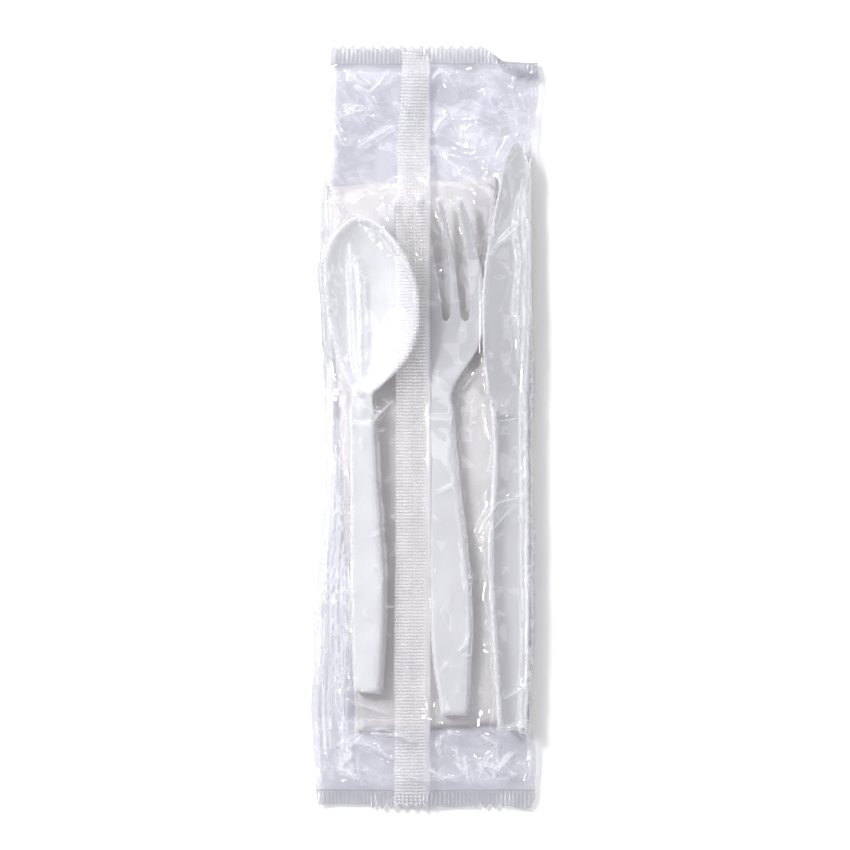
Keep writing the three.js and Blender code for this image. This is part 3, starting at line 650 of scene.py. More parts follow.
def napkin_piece():
    """Tissue folded to and fro: each stack is one strip whose section turns back at the sides."""
    verts, faces = [], []

    def stack(z0, panels, y_low, y_high_of, seed, w_left, w_right, t=0.12, gap=0.06):
        pitch = t + gap
        # middle line of the strip, then its two faces
        line = []
        nx = 30
        for i in range(panels):
            z = z0 + i * pitch + t / 2
            xs = np.linspace(-w_left + 0.35 + 0.25 * ((i * 7) % 3), w_right - 0.35 - 0.2 * ((i * 5) % 3), nx)
            if i % 2:
                xs = xs[::-1]
            line += [(x, z) for x in xs]
            if i < panels - 1:
                d = 1 if i % 2 == 0 else -1
                r = pitch / 2
                for a in (-50, 0, 50):
                    line.append((xs[-1] + d * (0.1 + r * 1.3 * math.cos(math.radians(a))), z + r + r * math.sin(math.radians(a))))
        line = np.array(line)
        tan = np.gradient(line, axis=0)
        tan /= np.maximum(np.linalg.norm(tan, axis=1), 1e-9)[:, None]
        nor = np.stack([-tan[:, 1], tan[:, 0]], 1)
        loop = np.vstack([line + nor * t / 2, (line - nor * t / 2)[::-1]])
        m = len(loop)
        rows = 84
        base = len(verts)
        for k in range(rows + 1):
            f = k / rows
            yk = y_low + (y_high_of(loop[:, 0]) - y_low) * f
            x = loop[:, 0] + 0.12 * fractal(yk * 0 + loop[:, 1] * 3, yk, seed, 40)
            lift = 0.10 * fractal(loop[:, 0], yk, seed + 3, 26) + 0.03 * fractal(loop[:, 0], yk, seed + 5, 7)
            edge = np.minimum(np.minimum(loop[:, 0] + w_left, w_right - loop[:, 0]), 6) / 6
            z = loop[:, 1] + lift * np.clip(edge + 0.3, 0, 1) + 0.1
            for a, b, cc in zip(x, yk, z):
                verts.append((a, b, cc))
        for k in range(rows):
            for i in range(m):
                j = (i + 1) % m
                faces.append((base + k * m + i, base + k * m + j, base + (k + 1) * m + j, base + (k + 1) * m + i))
        # close both ends between the strip's two faces
        half = m // 2
        for k, flip in ((0, False), (rows, True)):
            o = base + k * m
            for i in range(half - 1):
                q = (o + i, o + m - 1 - i, o + m - 2 - i, o + i + 1)
                faces.append(q[::-1] if flip else q)

    hl = NAPKIN_L / 2
    w = NAPKIN_W / 2

    def upper_end(x):
        # the upper panels stop short of the lower ones and end in a rounded corner
        base = hl - 2.6 + 0.022 * (x + w)
        return base - 6.2 * np.clip((x - (w - 3.4)) / 3.4, 0, 1) ** 2.2

    stack(NAPKIN_BOTTOM - 0.05, 6, -hl, lambda x: np.full_like(x, hl) + 0.15 * np.sin(x * 0.4), 11, w, w)
    stack(NAPKIN_BOTTOM + 3 * 0.36, 6, -hl + 0.5, upper_end, 11, w - 0.4, w - 0.5)
    v = np.array(verts)
    # pressed flat enough to stay clear of the cutlery on it
    v[:, 2] = 0.60 + (v[:, 2] - v[:, 2].min()) * (1.90 / np.ptp(v[:, 2]))
    c, s = math.cos(NAPKIN_YAW), math.sin(NAPKIN_YAW)
    x = v[:, 0] * c - v[:, 1] * s + NAPKIN_C[0]
    y = v[:, 0] * s + v[:, 1] * c + NAPKIN_C[1]
    return make_object("folded_napkin", np.stack([x, y, v[:, 2]], 1), faces, [mat_tissue])


spoon = spoon_piece()
fork = fork_piece()
knife = knife_piece()
napkin = napkin_piece()

# ----------------------------------------------------------- what the film feels
RES = 0.4
GX, GY = np.arange(-35, 35 + RES, RES), np.arange(-92, 86 + RES, RES)


def height_under(objects):
    vs, ps, off = [], [], 0
    for o in objects:
        me = o.data
        co = np.empty(len(me.vertices) * 3)
        me.vertices.foreach_get("co", co)
        co = co.reshape(-1, 3)
        vs.append(co)
        ps += [[i + off for i in p.vertices] for p in me.polygons]
        off += len(co)
    tree = BVHTree.FromPolygons([tuple(v) for v in np.vstack(vs)], ps)
    H = np.zeros((len(GY), len(GX)))
    down = Vector((0, 0, -1))
    for j, y in enumerate(GY):
        for i, x in enumerate(GX):
            hit = tree.ray_cast(Vector((x * MM, y * MM, 0.03)), down)[0]
            if hit is not None:
                H[j, i] = hit.z / MM
    return H


H = height_under([spoon, fork, knife, napkin])
P1 = np.pad(H, 1, mode="edge")
H = np.max([P1[a : a + H.shape[0], b : b + H.shape[1]] for a in range(3) for b in range(3)], axis=0)
# a little wider along the knife's outer edge, where the film turns down steeply
P2 = np.pad(H, 2, mode="edge")
wider = np.max([P2[a : a + H.shape[0], b : b + H.shape[1]] for a in range(5) for b in range(5)], axis=0)
H = np.where(GX[None, :] > 28.0, wider, H) if H.shape[1] == len(GX) else np.where(GX[:, None] > 28.0, wider, H)


def look_up(grid, x, y):
    fx = np.clip((x - GX[0]) / RES, 0, len(GX) - 1.001)
    fy = np.clip((y - GY[0]) / RES, 0, len(GY) - 1.001)
    i, j = fx.astype(int), fy.astype(int)
    a, b = fx - i, fy - j
    inside = (y > GY[0]) & (y < GY[-1])
    h = (grid[j, i] * (1 - a) + grid[j, i + 1] * a) * (1 - b) + (grid[j + 1, i] * (1 - a) + grid[j + 1, i + 1] * a) * b
    return np.where(inside, h, 0.0)


# ------------------------------------------------------------------------ film
NXF, NYF = 149, 545
LEFT, RIGHT = curve(OUTLINE_LEFT), curve(OUTLINE_RIGHT)
ROWS = np.linspace(-SEAL_START, SEAL_START, NYF)
EDGE_Z = curve([
    (-107.8, 2.2), (-95, 2.6), (-70, 3.0), (-30, 3.2), (10, 3.4), (40, 4.4), (60, 3.8), (80, 3.0), (107.8, 2.4),
])
EDGE_Z_R = curve([
    (-107.8, 2.4), (-95, 2.8), (-80, 3.6), (0, 3.8), (60, 3.8), (80, 3.4), (107.8, 2.6),
])


def px(x, y):
    """From the layout grid, 3.38 steps to the millimetre, to the pack's millimetres."""
    return ((x - 425.0) / 3.38, (427.2 - y) / 3.38)


def polyline_distance(X, Y, pts):
    best = np.full(X.shape, 1e9)
    along = np.zeros(X.shape)
    pts = np.asarray(pts, float)
    total = 0.0
    lens = np.linalg.norm(np.diff(pts, axis=0), axis=1)
    whole = lens.sum()
    for a, b, l in zip(pts[:-1], pts[1:], lens):
        d = b - a
        t = np.clip(((X - a[0]) * d[0] + (Y - a[1]) * d[1]) / (l * l), 0, 1)
        dist = np.hypot(X - a[0] - t * d[0], Y - a[1] - t * d[1])
        near = dist < best
        best = np.where(near, dist, best)
        along = np.where(near, (total + t * l) / whole, along)
        total += l
    return best, along


def facets(X, Y, seed, spacing, stretch=1.0):
    """Flat facets between random points at random heights, as creased film has."""
    r = np.random.RandomState(seed)
    x0, x1, y0, y1 = -42.0, 42.0, -122.0, 122.0
    nx, ny = int((x1 - x0) / spacing) + 1, int((y1 - y0) / (spacing * stretch)) + 1
    gx, gy = np.meshgrid(np.linspace(x0, x1, nx), np.linspace(y0, y1, ny))
    jx = gx + r.uniform(-0.48, 0.48, gx.shape) * spacing
    jy = gy + r.uniform(-0.48, 0.48, gy.shape) * spacing * stretch
    pts = np.stack([jx.ravel(), jy.ravel()], 1)
    val = r.uniform(-1, 1, len(pts))
    res = delaunay_2d_cdt([Vector(p) for p in pts], [], [], 0, 1e-6)
    vv = np.array([tuple(v) for v in res[0]])
    ids = [o[0] for o in res[3]]
    val = val[ids]
    out = np.zeros(X.shape)
    step_x = X[:, 1:2] * 0 + (X[:, 1:2] - X[:, :1])
    for f in res[2]:
        if len(f) != 3:
            continue
        a, b, c = vv[f[0]], vv[f[1]], vv[f[2]]
        lo, hi = np.minimum(np.minimum(a, b), c), np.maximum(np.maximum(a, b), c)
        j0, j1 = np.searchsorted(Y[:, 0], [lo[1], hi[1]])
        j0 = max(j0 - 1, 0)
        j1 = min(j1 + 1, X.shape[0])
        if j0 >= j1:
            continue
        xa, xb = X[j0:j1, 0].max(), X[j0:j1, 0].min()
        dx = (X[j0, -1] - X[j0, 0]) / (X.shape[1] - 1)
        i0 = max(int((lo[0] - xa) / dx) - 2, 0)
        i1 = min(int((hi[0] - xb) / dx) + 3, X.shape[1])
        if i0 >= i1:
            continue
        xs, ys = X[j0:j1, i0:i1], Y[j0:j1, i0:i1]
        den = (b[1] - c[1]) * (a[0] - c[0]) + (c[0] - b[0]) * (a[1] - c[1])
        if abs(den) < 1e-9:
            continue
        w0 = ((b[1] - c[1]) * (xs - c[0]) + (c[0] - b[0]) * (ys - c[1])) / den
        w1 = ((c[1] - a[1]) * (xs - c[0]) + (a[0] - c[0]) * (ys - c[1])) / den
        w2 = 1 - w0 - w1
        ins = (w0 >= -1e-6) & (w1 >= -1e-6) & (w2 >= -1e-6)
        v = w0 * val[f[0]] + w1 * val[f[1]] + w2 * val[f[2]]
        out[j0:j1, i0:i1] = np.where(ins, v, out[j0:j1, i0:i1])
    return out


def seal_z(x, top):
    if top:
        return 2.3 + 0.5 * np.sin(x * 0.11 + 0.6) + 0.25 * np.sin(x * 0.31)
    return 2.1 + 0.55 * np.sin(x * 0.13 + 2.0) + 0.2 * np.sin(x * 0.37 + 1.0)


A = np.linspace(0, 1, NXF)
FX = LEFT(ROWS)[:, None] * (1 - A) + RIGHT(ROWS)[:, None] * A
FY = np.repeat(ROWS[:, None], NXF, 1)
kink = np.zeros((NYF, 2))
for span, size in ((9.0, 0.42), (3.6, 0.22), (1.8, 0.10)):
    for side in (0, 1):
        knots = np.arange(-116, 117, span)
        kink[:, side] += np.interp(ROWS, knots + rng.uniform(-0.35, 0.35, len(knots)) * span, rng.uniform(-size, size, len(knots)))
kink *= np.clip((SEAL_START - np.abs(ROWS)) / 4.0, 0, 1)[:, None]
FX = FX + kink[:, :1] * np.clip(1 - A * 6, 0, 1) - kink[:, 1:] * np.clip(1 - (1 - A) * 6, 0, 1)

# how loose the film is: the empty ends most, the left side in long pleats
empty_top = smooth(FY, 70, 80)
empty_bot = smooth(FY, -86, -92)
left_side = smooth(FX, -19.5, -24) * smooth(FY, 30, 0)
right_side = smooth(FX, 14, 20)
loose = np.clip(0.16 + 0.84 * empty_top + 0.84 * empty_bot + 0.35 * left_side + 0.3 * right_side, 0, 1)

# the back web first: it lies on the table, and rises to the side folds
edge_share = np.clip(np.minimum(FX - FX[:, :1], FX[:, -1:] - FX) / 7.0, 0, 1)
edge_line = np.where(FX < 0, EDGE_Z(ROWS)[:, None], EDGE_Z_R(ROWS)[:, None])
end_share = np.clip((SEAL_START - np.abs(FY)) / 14.0, 0, 1)
seal_line = np.where(FY > 0, seal_z(FX, True), seal_z(FX, False))
back = 0.12 + (edge_line - 0.12) * (1 - edge_share) ** 2.2
back = back * smooth(end_share, 0, 1) + seal_line * (1 - smooth(end_share, 0, 1))
crumple_back = (
    1.1 * facets(FX, FY, 31, 9.0) + 0.55 * facets(FX, FY, 32, 4.2) + 0.25 * facets(FX, FY, 33, 2.2)
)
quiet = np.clip(0.05 + np.maximum(empty_top, empty_bot) + 0.5 * (1 - edge_share), 0, 1) * np.clip(end_share * 2.2, 0, 1)
back = np.maximum(back + 0.5 * quiet * (crumple_back + 0.8), 0.05)
# the napkin lies on the back web, which only rises outside it
_c, _s = math.cos(NAPKIN_YAW), math.sin(NAPKIN_YAW)
_u = np.abs((FX - NAPKIN_C[0]) * _c + (FY - NAPKIN_C[1]) * _s) - NAPKIN_W / 2
_v = np.abs((FY - NAPKIN_C[1]) * _c - (FX - NAPKIN_C[0]) * _s) - NAPKIN_L / 2
outside = np.hypot(np.maximum(_u, 0), np.maximum(_v, 0))
back = np.minimum(back, 0.45 + 1.1 * np.maximum(outside - 0.5, 0))
back[:, 0], back[:, -1] = EDGE_Z(ROWS), EDGE_Z_R(ROWS)
back[0], back[-1] = seal_line[0], seal_line[-1]

floor_of_front = np.maximum(look_up(H, FX, FY) + 0.10, back + 0.05)
floor_of_front[:, 0], floor_of_front[:, -1] = back[:, 0], back[:, -1]
floor_of_front[0], floor_of_front[-1] = back[0], back[-1]

# a taut skin over the contents
Z = floor_of_front.copy()
parity = np.add.outer(np.arange(NYF), np.arange(NXF)) % 2
for sweep in range(160):
    for side in (0, 1):
        mean = (Z[1:-1, :-2] + Z[1:-1, 2:] + Z[:-2, 1:-1] + Z[2:, 1:-1]) / 4 - 0.0016
        inner = np.maximum(Z[1:-1, 1:-1] + 1.75 * (mean - Z[1:-1, 1:-1]), floor_of_front[1:-1, 1:-1])
        Z[1:-1, 1:-1] = np.where(parity[1:-1, 1:-1] == side, inner, Z[1:-1, 1:-1])

# creases
CREASES = [
    # points in the layout grid, height, half width
    ([(347, 236), (351, 262), (353, 300), (354, 335), (357, 388)], 1.5, 1.2),
    ([(356, 250), (360, 285), (361, 330), (361, 386)], 1.1, 1.0),
    ([(352, 386), (362, 396)], 1.2, 1.3),
    ([(324, 268), (334, 282), (347, 292)], 0.5, 2.2),
    ([(475, 537), (486, 519), (498, 503), (521, 497)], 1.0, 1.2),
    ([(476, 538), (492, 530), (505, 515), (522, 499)], 0.6, 1.5),
    ([(476, 538), (497, 544)], 0.4, 1.0),
    ([(523, 172), (519, 200), (517, 235), (521, 262), (517, 300), (519, 335), (516, 372)], 1.1, 1.1),
    ([(500, 245), (512, 232), (521, 222)], 0.9, 1.3),
    ([(484, 262), (498, 243), (512, 230)], 0.5, 1.0),
    ([(522, 378), (524, 427), (525, 470), (526, 497)], 1.0, 1.0),
    ([(526, 500), (527, 560), (528, 610), (527, 690), (529, 735)], 0.9, 0.9),
    ([(326, 172), (331, 183), (337, 192), (333, 203), (340, 214), (335, 228)], 1.0, 1.1),
    ([(330, 196), (332, 214), (334, 236)], 0.7, 0.9),
    ([(446, 70), (452, 82), (463, 97)], 1.3, 1.6),
    ([(476, 64), (490, 78), (511, 101)], 1.5, 1.6),
    ([(395, 62), (380, 82), (366, 96)], 1.0, 1.5),
    ([(340, 60), (352, 76), (372, 88)], 0.9, 1.3),
    ([(335, 118), (360, 110), (382, 122)], 0.8, 1.4),
    ([(440, 120), (470, 112), (500, 128), (528, 118)], 1.0, 1.6),
    ([(520, 64), (512, 90), (522, 120)], 1.0, 1.5),
    ([(436, 150), (470, 160), (498, 152)], 0.6, 1.6),
    ([(430, 495), (445, 489), (458, 480)], 0.5, 1.3),
    ([(455, 655), (466, 642), (470, 628)], 0.6, 1.2),
    ([(345, 700), (370, 708), (392, 716)], 0.9, 1.4),
    ([(340, 742), (370, 746), (396, 762)], 1.2, 1.5),
    ([(338, 770), (352, 757), (350, 745)], 1.0, 1.3),
    ([(448, 732), (463, 738)], 1.0, 1.2),
    ([(455, 745), (462, 768), (470, 782)], 1.0, 1.3),
    ([(480, 735), (497, 745), (500, 780)], 1.1, 1.4),
    ([(430, 770), (445, 780), (455, 776)], 0.9, 1.2),
    ([(500, 700), (520, 690), (529, 680)], 0.7, 1.3),
    ([(395, 398), (382, 412), (373, 424)], 0.7, 1.2),
    ([(372, 424), (381, 412), (369, 408)], 0.5, 1.0),
    ([(488, 418), (505, 421), (522, 417)], 0.5, 1.0),
    ([(457, 398), (447, 385), (432, 368)], 0.4, 1.1),
    ([(457, 398), (470, 380), (483, 365)], 0.4, 1.1),
]
for k in range(6):
    # long pleats down the left side
    x0 = 318 + 5.0 * k + rng.uniform(-2.2, 2.2)
    y0, y1 = 385 + rng.uniform(0, 90), 800 - rng.uniform(0, 60)
    ys = np.linspace(y0, y1, 9)
    lean = np.interp(ys, [385, 520, 700, 800], [6.0, 2.5, -4.0, 0.0]) * (1 - k / 6)
    CREASES.append(([(x0 + lean[i] + rng.uniform(-2.0, 2.0), ys[i]) for i in range(9)], rng.uniform(0.35, 1.0), rng.uniform(0.6, 1.3)))
for k in range(26):
    # short random creases in both empty ends
    top = k % 2 == 0
    x0, y0 = rng.uniform(335, 525), rng.uniform(64, 178) if top else rng.uniform(735, 782)
    ang = math.radians(rng.choice([35, 50, 70, -40, -60, 100, 20]) + rng.uniform(-12, 12))
    l = rng.uniform(10, 26)
    mid = (x0 + rng.uniform(-3, 3), y0 + rng.uniform(-3, 3))
    CREASES.append((
        [(x0 - l * math.cos(ang), y0 - l * math.sin(ang)), mid, (x0 + l * math.cos(ang), y0 + l * math.sin(ang))],
        rng.uniform(0.5, 1.2), rng.uniform(0.8, 1.4)))

crumple = (
    0.85 * facets(FX, FY, 41, 13.0, 1.5)
    + 0.60 * facets(FX, FY, 42, 6.5, 1.3)
    + 0.10 * facets(FX, FY, 43, 3.2)
)
relief = loose * (1.0 * crumple + 0.6) + (0.10 * facets(FX, FY, 45, 16.0, 1.8) + 0.12 * facets(FX, FY, 46, 5.0, 1.4)) * (1 - loose) + 0.14
for pts, hgt, wid in CREASES:
    d, along = polyline_distance(FX, FY, [px(*p) for p in pts])
    fade = np.clip(np.minimum(along, 1 - along) * 5, 0, 1)
    relief = relief + hgt * fade * np.clip(1 - d / (wid * 1.5), 0, 1) ** 1.7
rim = np.clip(np.minimum(np.minimum(FX - FX[:, :1], FX[:, -1:] - FX) / 1.6, (SEAL_START - np.abs(FY)) / 3.0), 0, 1)
start = Z + relief * rim


def lengths(P):
    return (
        np.linalg.norm(P[:, 1:] - P[:, :-1], axis=2),
        np.linalg.norm(P[1:] - P[:-1], axis=2),
        np.linalg.norm(P[1:, 1:] - P[:-1, :-1], axis=2),
        np.linalg.norm(P[1:, :-1] - P[:-1, 1:], axis=2),
    )


def relax(P, floor_fn, steps, stretch, weight, hold):
    """Film that keeps its own lengths settles under its weight on what lies below it."""
    P = P.copy()
    LX, LY, LA, LB = lengths(P)
    LX, LY = LX * stretch, LY * stretch
    LA, LB = LA * stretch, LB * stretch
    fixed = P.copy()

    def pull(A_, B_, L_, k):
        d = B_ - A_
        l = np.sqrt((d * d).sum(-1)) + 1e-9
        c = (0.5 * k * (l - L_) / l)[..., None] * d
        A_ += c
        B_ -= c

    for it in range(steps):
        P[1:-1, 1:-1, 2] -= weight
        for s in (0, 1):
            n = (P.shape[1] - s) // 2 * 2
            pull(P[:, s : s + n : 2], P[:, s + 1 : s + n : 2], LX[:, s : s + n - 1 : 2], 1.0)
            n = (P.shape[0] - s) // 2 * 2
            pull(P[s : s + n : 2], P[s + 1 : s + n : 2], LY[s : s + n - 1 : 2], 1.0)
        for s in (0, 1):
            n = (P.shape[0] - s) // 2 * 2
            pull(P[s : s + n : 2, :-1], P[s + 1 : s + n : 2, 1:], LA[s : s + n - 1 : 2], 0.35)
            pull(P[s : s + n : 2, 1:], P[s + 1 : s + n : 2, :-1], LB[s : s + n - 1 : 2], 0.35)
        if it % 3 == 2:
            mean = (P[1:-1, :-2] + P[1:-1, 2:] + P[:-2, 1:-1] + P[2:, 1:-1]) / 4
            P[1:-1, 1:-1] += hold * (mean - P[1:-1, 1:-1])
        P[:, 0], P[:, -1], P[0], P[-1] = fixed[:, 0], fixed[:, -1], fixed[0], fixed[-1]
        P[1:-1, 1:-1, 2] = np.maximum(P[1:-1, 1:-1, 2], floor_fn(P[1:-1, 1:-1, 0], P[1:-1, 1:-1, 1]))
    return P


def grid_lookup(G):
    def f(x, y):
        fj = np.clip((y - ROWS[0]) / (ROWS[1] - ROWS[0]), 0, NYF - 1.001)
        j = fj.astype(int)
        xl, xr = LEFT(y), RIGHT(y)
        fi = np.clip((x - xl) / (xr - xl) * (NXF - 1), 0, NXF - 1.001)
        i = fi.astype(int)
        a, b = fi - i, fj - j
        return (G[j, i] * (1 - a) + G[j, i + 1] * a) * (1 - b) + (G[j + 1, i] * (1 - a) + G[j + 1, i + 1] * a) * b

    return f


back_at = grid_lookup(back)


def front_floor(x, y):
    return np.maximum(look_up(H, x, y) + 0.08, back_at(x, y) + 0.04)


P = np.stack([FX, FY, start], 2)
P = relax(P, front_floor, 110, 1.0, 0.010, 0.012)
PX, PY = P[:, :, 0], P[:, :, 1]
crisp = (
    0.70 * (facets(FX, FY, 51, 11.0, 1.4) + 1)
    + 0.46 * (facets(FX, FY, 52, 5.6, 1.3) + 1)
    + 0.08 * (facets(FX, FY, 53, 3.0) + 1)
) * (0.34 + 0.86 * loose)
for k in range(150):
    # fine scratches and creases all over
    x0, y0 = rng.uniform(322, 530), rng.uniform(66, 782)
    ang = math.radians(rng.normal(80, 32) if rng.uniform() < 0.6 else rng.uniform(0, 180))
    l = rng.uniform(3, 15)
    bend = rng.uniform(-2.5, 2.5)
    CREASES.append((
        [(x0 - l * math.cos(ang), y0 - l * math.sin(ang)), (x0 + bend, y0 + bend), (x0 + l * math.cos(ang), y0 + l * math.sin(ang))],
        rng.uniform(0.22, 0.62), rng.uniform(0.55, 0.95)))
for pts, hgt, wid in CREASES:
    line = np.array([px(*p) for p in pts])
    j0, j1 = np.searchsorted(ROWS, [line[:, 1].min() - 3, line[:, 1].max() + 3])
    d, along = polyline_distance(PX[j0:j1], PY[j0:j1], line)
    fade = np.clip(np.minimum(along, 1 - along) * 2.6, 0, 1)
    crisp[j0:j1] += 0.6 * hgt * fade * np.clip(1 - d / (wid * 1.7), 0, 1) ** 2
P[:, :, 2] += crisp * rim
front = P
# how sharply the film is bent at each point, from the change of slope over a cell
slope = np.zeros(P.shape[:2])
ZZ = P[:, :, 2]
step_x = np.maximum(np.abs(P[1:-1, 2:, 0] - P[1:-1, :-2, 0]) / 2, 0.2)
step_y = np.maximum(np.abs(P[2:, 1:-1, 1] - P[:-2, 1:-1, 1]) / 2, 0.2)
bend_x = np.abs(ZZ[1:-1, 2:] - 2 * ZZ[1:-1, 1:-1] + ZZ[1:-1, :-2]) / step_x
bend_y = np.abs(ZZ[2:, 1:-1] - 2 * ZZ[1:-1, 1:-1] + ZZ[:-2, 1:-1]) / step_y
bend_d = np.abs(ZZ[2:, 2:] - 2 * ZZ[1:-1, 1:-1] + ZZ[:-2, :-2]) / (step_x + step_y)
bend_e = np.abs(ZZ[2:, :-2] - 2 * ZZ[1:-1, 1:-1] + ZZ[:-2, 2:]) / (step_x + step_y)
sharp = np.maximum(np.maximum(bend_x, bend_y), 1.2 * np.maximum(bend_d, bend_e))
slope[1:-1, 1:-1] = np.clip((sharp - 0.17) / 0.62, 0, 1)

# --- assemble the film mesh
verts, faces, fmat = [], [], []


def add_grid(G, mat, weld=None):
    """Adds a grid of points; weld maps (row, column) to a vertex that is already there."""
    nr, nc = G.shape[:2]
    idx = np.zeros((nr, nc), int)
    for r in range(nr):
        for c in range(nc):
            w = weld(r, c) if weld else None
            if w is None:
                idx[r, c] = len(verts)
                verts.append(tuple(G[r, c]))
            else:
                idx[r, c] = w
    for r in range(nr - 1):
        for c in range(nc - 1):
            f = (idx[r, c], idx[r, c + 1], idx[r + 1, c + 1], idx[r + 1, c])
            if len(set(f)) == 4:
                faces.append(f)
                fmat.append(mat)
            else:
                g = list(dict.fromkeys(f))
                if len(g) == 3:
                    faces.append(tuple(g))
                    fmat.append(mat)
    return idx


front_idx = add_grid(front, 0)
NB = 23
cols = np.linspace(0, NXF - 1, NB).round().astype(int)
backG = np.stack([FX[:, cols], FY[:, cols], back[:, cols]], 2)[:, ::-1]


def weld_back(r, c):
    cc = NB - 1 - c
    if r in (0, NYF - 1) or cc in (0, NB - 1):
        return int(front_idx[r, cols[cc]])
    return None


add_grid(backG, 0, weld_back)
fmat = [0] * ((NYF - 1) * (NXF - 1)) + [1] * (len(faces) - (NYF - 1) * (NXF - 1))
web_mesh = (np.array(verts), faces, fmat)
verts, faces, fmat = [], [], []

# --- end seals: both webs crimped into ribs along the pack, cut in a zig-zag
front_at = grid_lookup(front[:, :, 2])


def tri(t):
    return 2 * np.abs((t % 1) - 0.5)  # 1 at whole numbers


def top_cut(x):
    y = 112.0 + 1.5 * tri((x + 27.4) / 2.95)
    y = np.where(x > 17.3, np.interp(x, [17.3, 23.0, 33.5], [113.0, 108.5, 107.9]), y)
    return np.where(x < -27.4, 112.2, y)


def bottom_cut(x):
    y = np.full_like(x, 112.0)
    zig = 111.4 + 2.15 * tri((x + 16.2) / 2.95)
    y = np.where((x > -16.2) & (x < 1.5), zig, y)
    y = np.where((x >= 1.5) & (x < 14.8), 112.3 + 0.5 * smooth(x, 1.5, 7) - 0.3 * smooth(x, 8, 14.8), y)
    zig2 = 111.4 + 2.1 * tri((x - 14.8) / 2.95)
    y = np.where((x >= 14.8) & (x < 23.7), zig2, y)
    y = np.where(x >= 23.7, 112.3 + 1.0 * smooth(x, 23.7, 30) - 3.6 * np.clip((x - 30.6) / 2.2, 0, 1) ** 2, y)
    return y


def seal_grid(top):
    nc, nr = 249, 12
    s = np.linspace(0, 1, nc)
    sgn = 1 if top else -1
    G = np.zeros((nr, nc, 3))
    xs = LEFT(sgn * 110) * (1 - s) + RIGHT(sgn * 110) * s
    cut = top_cut(xs) if top else bottom_cut(xs)
    for r in range(nr):
        f = r / (nr - 1)
        y = SEAL_START - 0.25 + (np.maximum(cut, SEAL_START + 0.3) - SEAL_START + 0.25) * f
        x = LEFT(sgn * y) * (1 - s) + RIGHT(sgn * y) * s
        ribs = 0.22 * np.cos(math.tau * x / 1.2 + 0.5 * np.sin(x * 0.7)) * smooth(f, 0.05, 0.25) * smooth(f, 1.0, 0.8)
        strength = 0.45 + 0.55 * smooth(np.abs(np.sin(x * 0.09 + (0.4 if top else 1.7))), 0.2, 0.7)
        wave = 0.35 * f * np.sin(x * 0.23 + (1.0 if top else 2.4)) + 0.25 * f * f * np.sin(x * 0.55 + 1.0)
        z = seal_z(x, top) + ribs * strength + wave + 0.06 * np.sin(y * 9.0) * strength
        G[r] = np.stack([x, sgn * y, z], 1)
    return G if top else G[:, ::-1]


add_grid(seal_grid(True), 1)
add_grid(seal_grid(False), 1)

# the top right corner of the seal is folded back over the front
fc, fr = 60, 9
G = np.zeros((fr, fc, 3))
fx = np.linspace(18.4, 33.4, fc)
for r in range(fr):
    f = r / (fr - 1)
    y0 = np.interp(fx, [17.3, 23.0, 33.5], [113.0, 108.5, 107.9])
    depth = np.interp(fx, [18.4, 23.0, 28.0, 33.4], [0.2, 3.4, 4.4, 4.6])
    y = y0 - depth * f
    x = fx + 0.9 * f * np.interp(fx, [18.4, 24], [1, 0])
    z = seal_z(x, True) + 0.25 + 0.75 * np.sin(min(f * 2.2, 1.0) * math.pi / 2) - 0.5 * f + 0.13 * np.cos(math.tau * x / 1.2) * (1 - abs(2 * f - 1))
    z = np.maximum(z, front_at(np.clip(x, -30, 32.5), np.clip(y, -107, 107.7)) + 0.12 * (1 if f > 0.05 else 0.2))
    G[r] = np.stack([x, y, z], 1)
add_grid(G[:, ::-1], 1)

# --- the fin seam, crimped in rows and laid over to the left
NS_C, NS_R = 50, 6
ys = np.linspace(-112.2, 111.6, 1300)
xc = np.concatenate([np.linspace(FIN_LEFT, FIN_CRIMP_RIGHT, NS_C), np.linspace(FIN_CRIMP_RIGHT, FIN_ROOT, NS_R + 1)[1:]])
SX, SY = np.meshgrid(xc, ys)
inner_y = np.clip(SY, -SEAL_START + 0.2, SEAL_START - 0.2)
under = front_at(SX, inner_y)
under = np.where(np.abs(SY) > SEAL_START, np.where(SY > 0, seal_z(SX, True), seal_z(SX, False)), under)


def box_blur(a, n, axis):
    pad = [(0, 0), (0, 0)]
    pad[axis] = (n, n)
    q = np.cumsum(np.pad(a, pad, mode="edge"), axis=axis)
    q = np.concatenate([np.zeros_like(np.take(q, [0], axis)), q], axis)
    m = 2 * n + 1
    hi = np.take(q, range(m, q.shape[axis]), axis)
    lo = np.take(q, range(0, q.shape[axis] - m), axis)
    return (hi - lo) / m


soft = box_blur(box_blur(box_blur(under, 12, 0), 12, 0), 5, 1)
lie = np.maximum(soft, box_blur(np.maximum(under, soft), 3, 0)) + 0.16
lie = np.maximum(lie, under + 0.05)
lie = box_blur(lie, 2, 0)
wob = 0.12 * fractal(SX * 0.2, SY, 71, 30)
edge_lift = 0.35 * np.clip((FIN_LEFT + 2.2 - SX) / 2.2, 0, 1) ** 2 * (0.6 + 0.4 * np.sin(SY * 0.09 + 1))
root = np.clip((SX - FIN_CRIMP_RIGHT) / (FIN_ROOT - FIN_CRIMP_RIGHT), 0, 1)
z = lie + wob + edge_lift
z = z * (1 - root ** 3) + (under + 0.02) * root ** 3 + 0.10 * np.sin(math.pi * np.clip(root, 0, 1)) * (root > 0)
PITCH_Y, PITCH_X = 0.962, 0.985
stagger = 0.07 * np.sin(math.tau * SX / PITCH_X) + 0.05 * np.sin(math.tau * SX / 3.1 + 0.8)
rib = 0.5 + 0.5 * np.cos(math.tau * (SY / PITCH_Y) + math.tau * stagger)
cell = 0.5 + 0.5 * np.cos(math.tau * SX / PITCH_X + 0.4)
worn = 0.80 + 0.20 * fractal(SX, SY, 72, 18)
crimped = 1 - smooth(root, 0.0, 0.25)
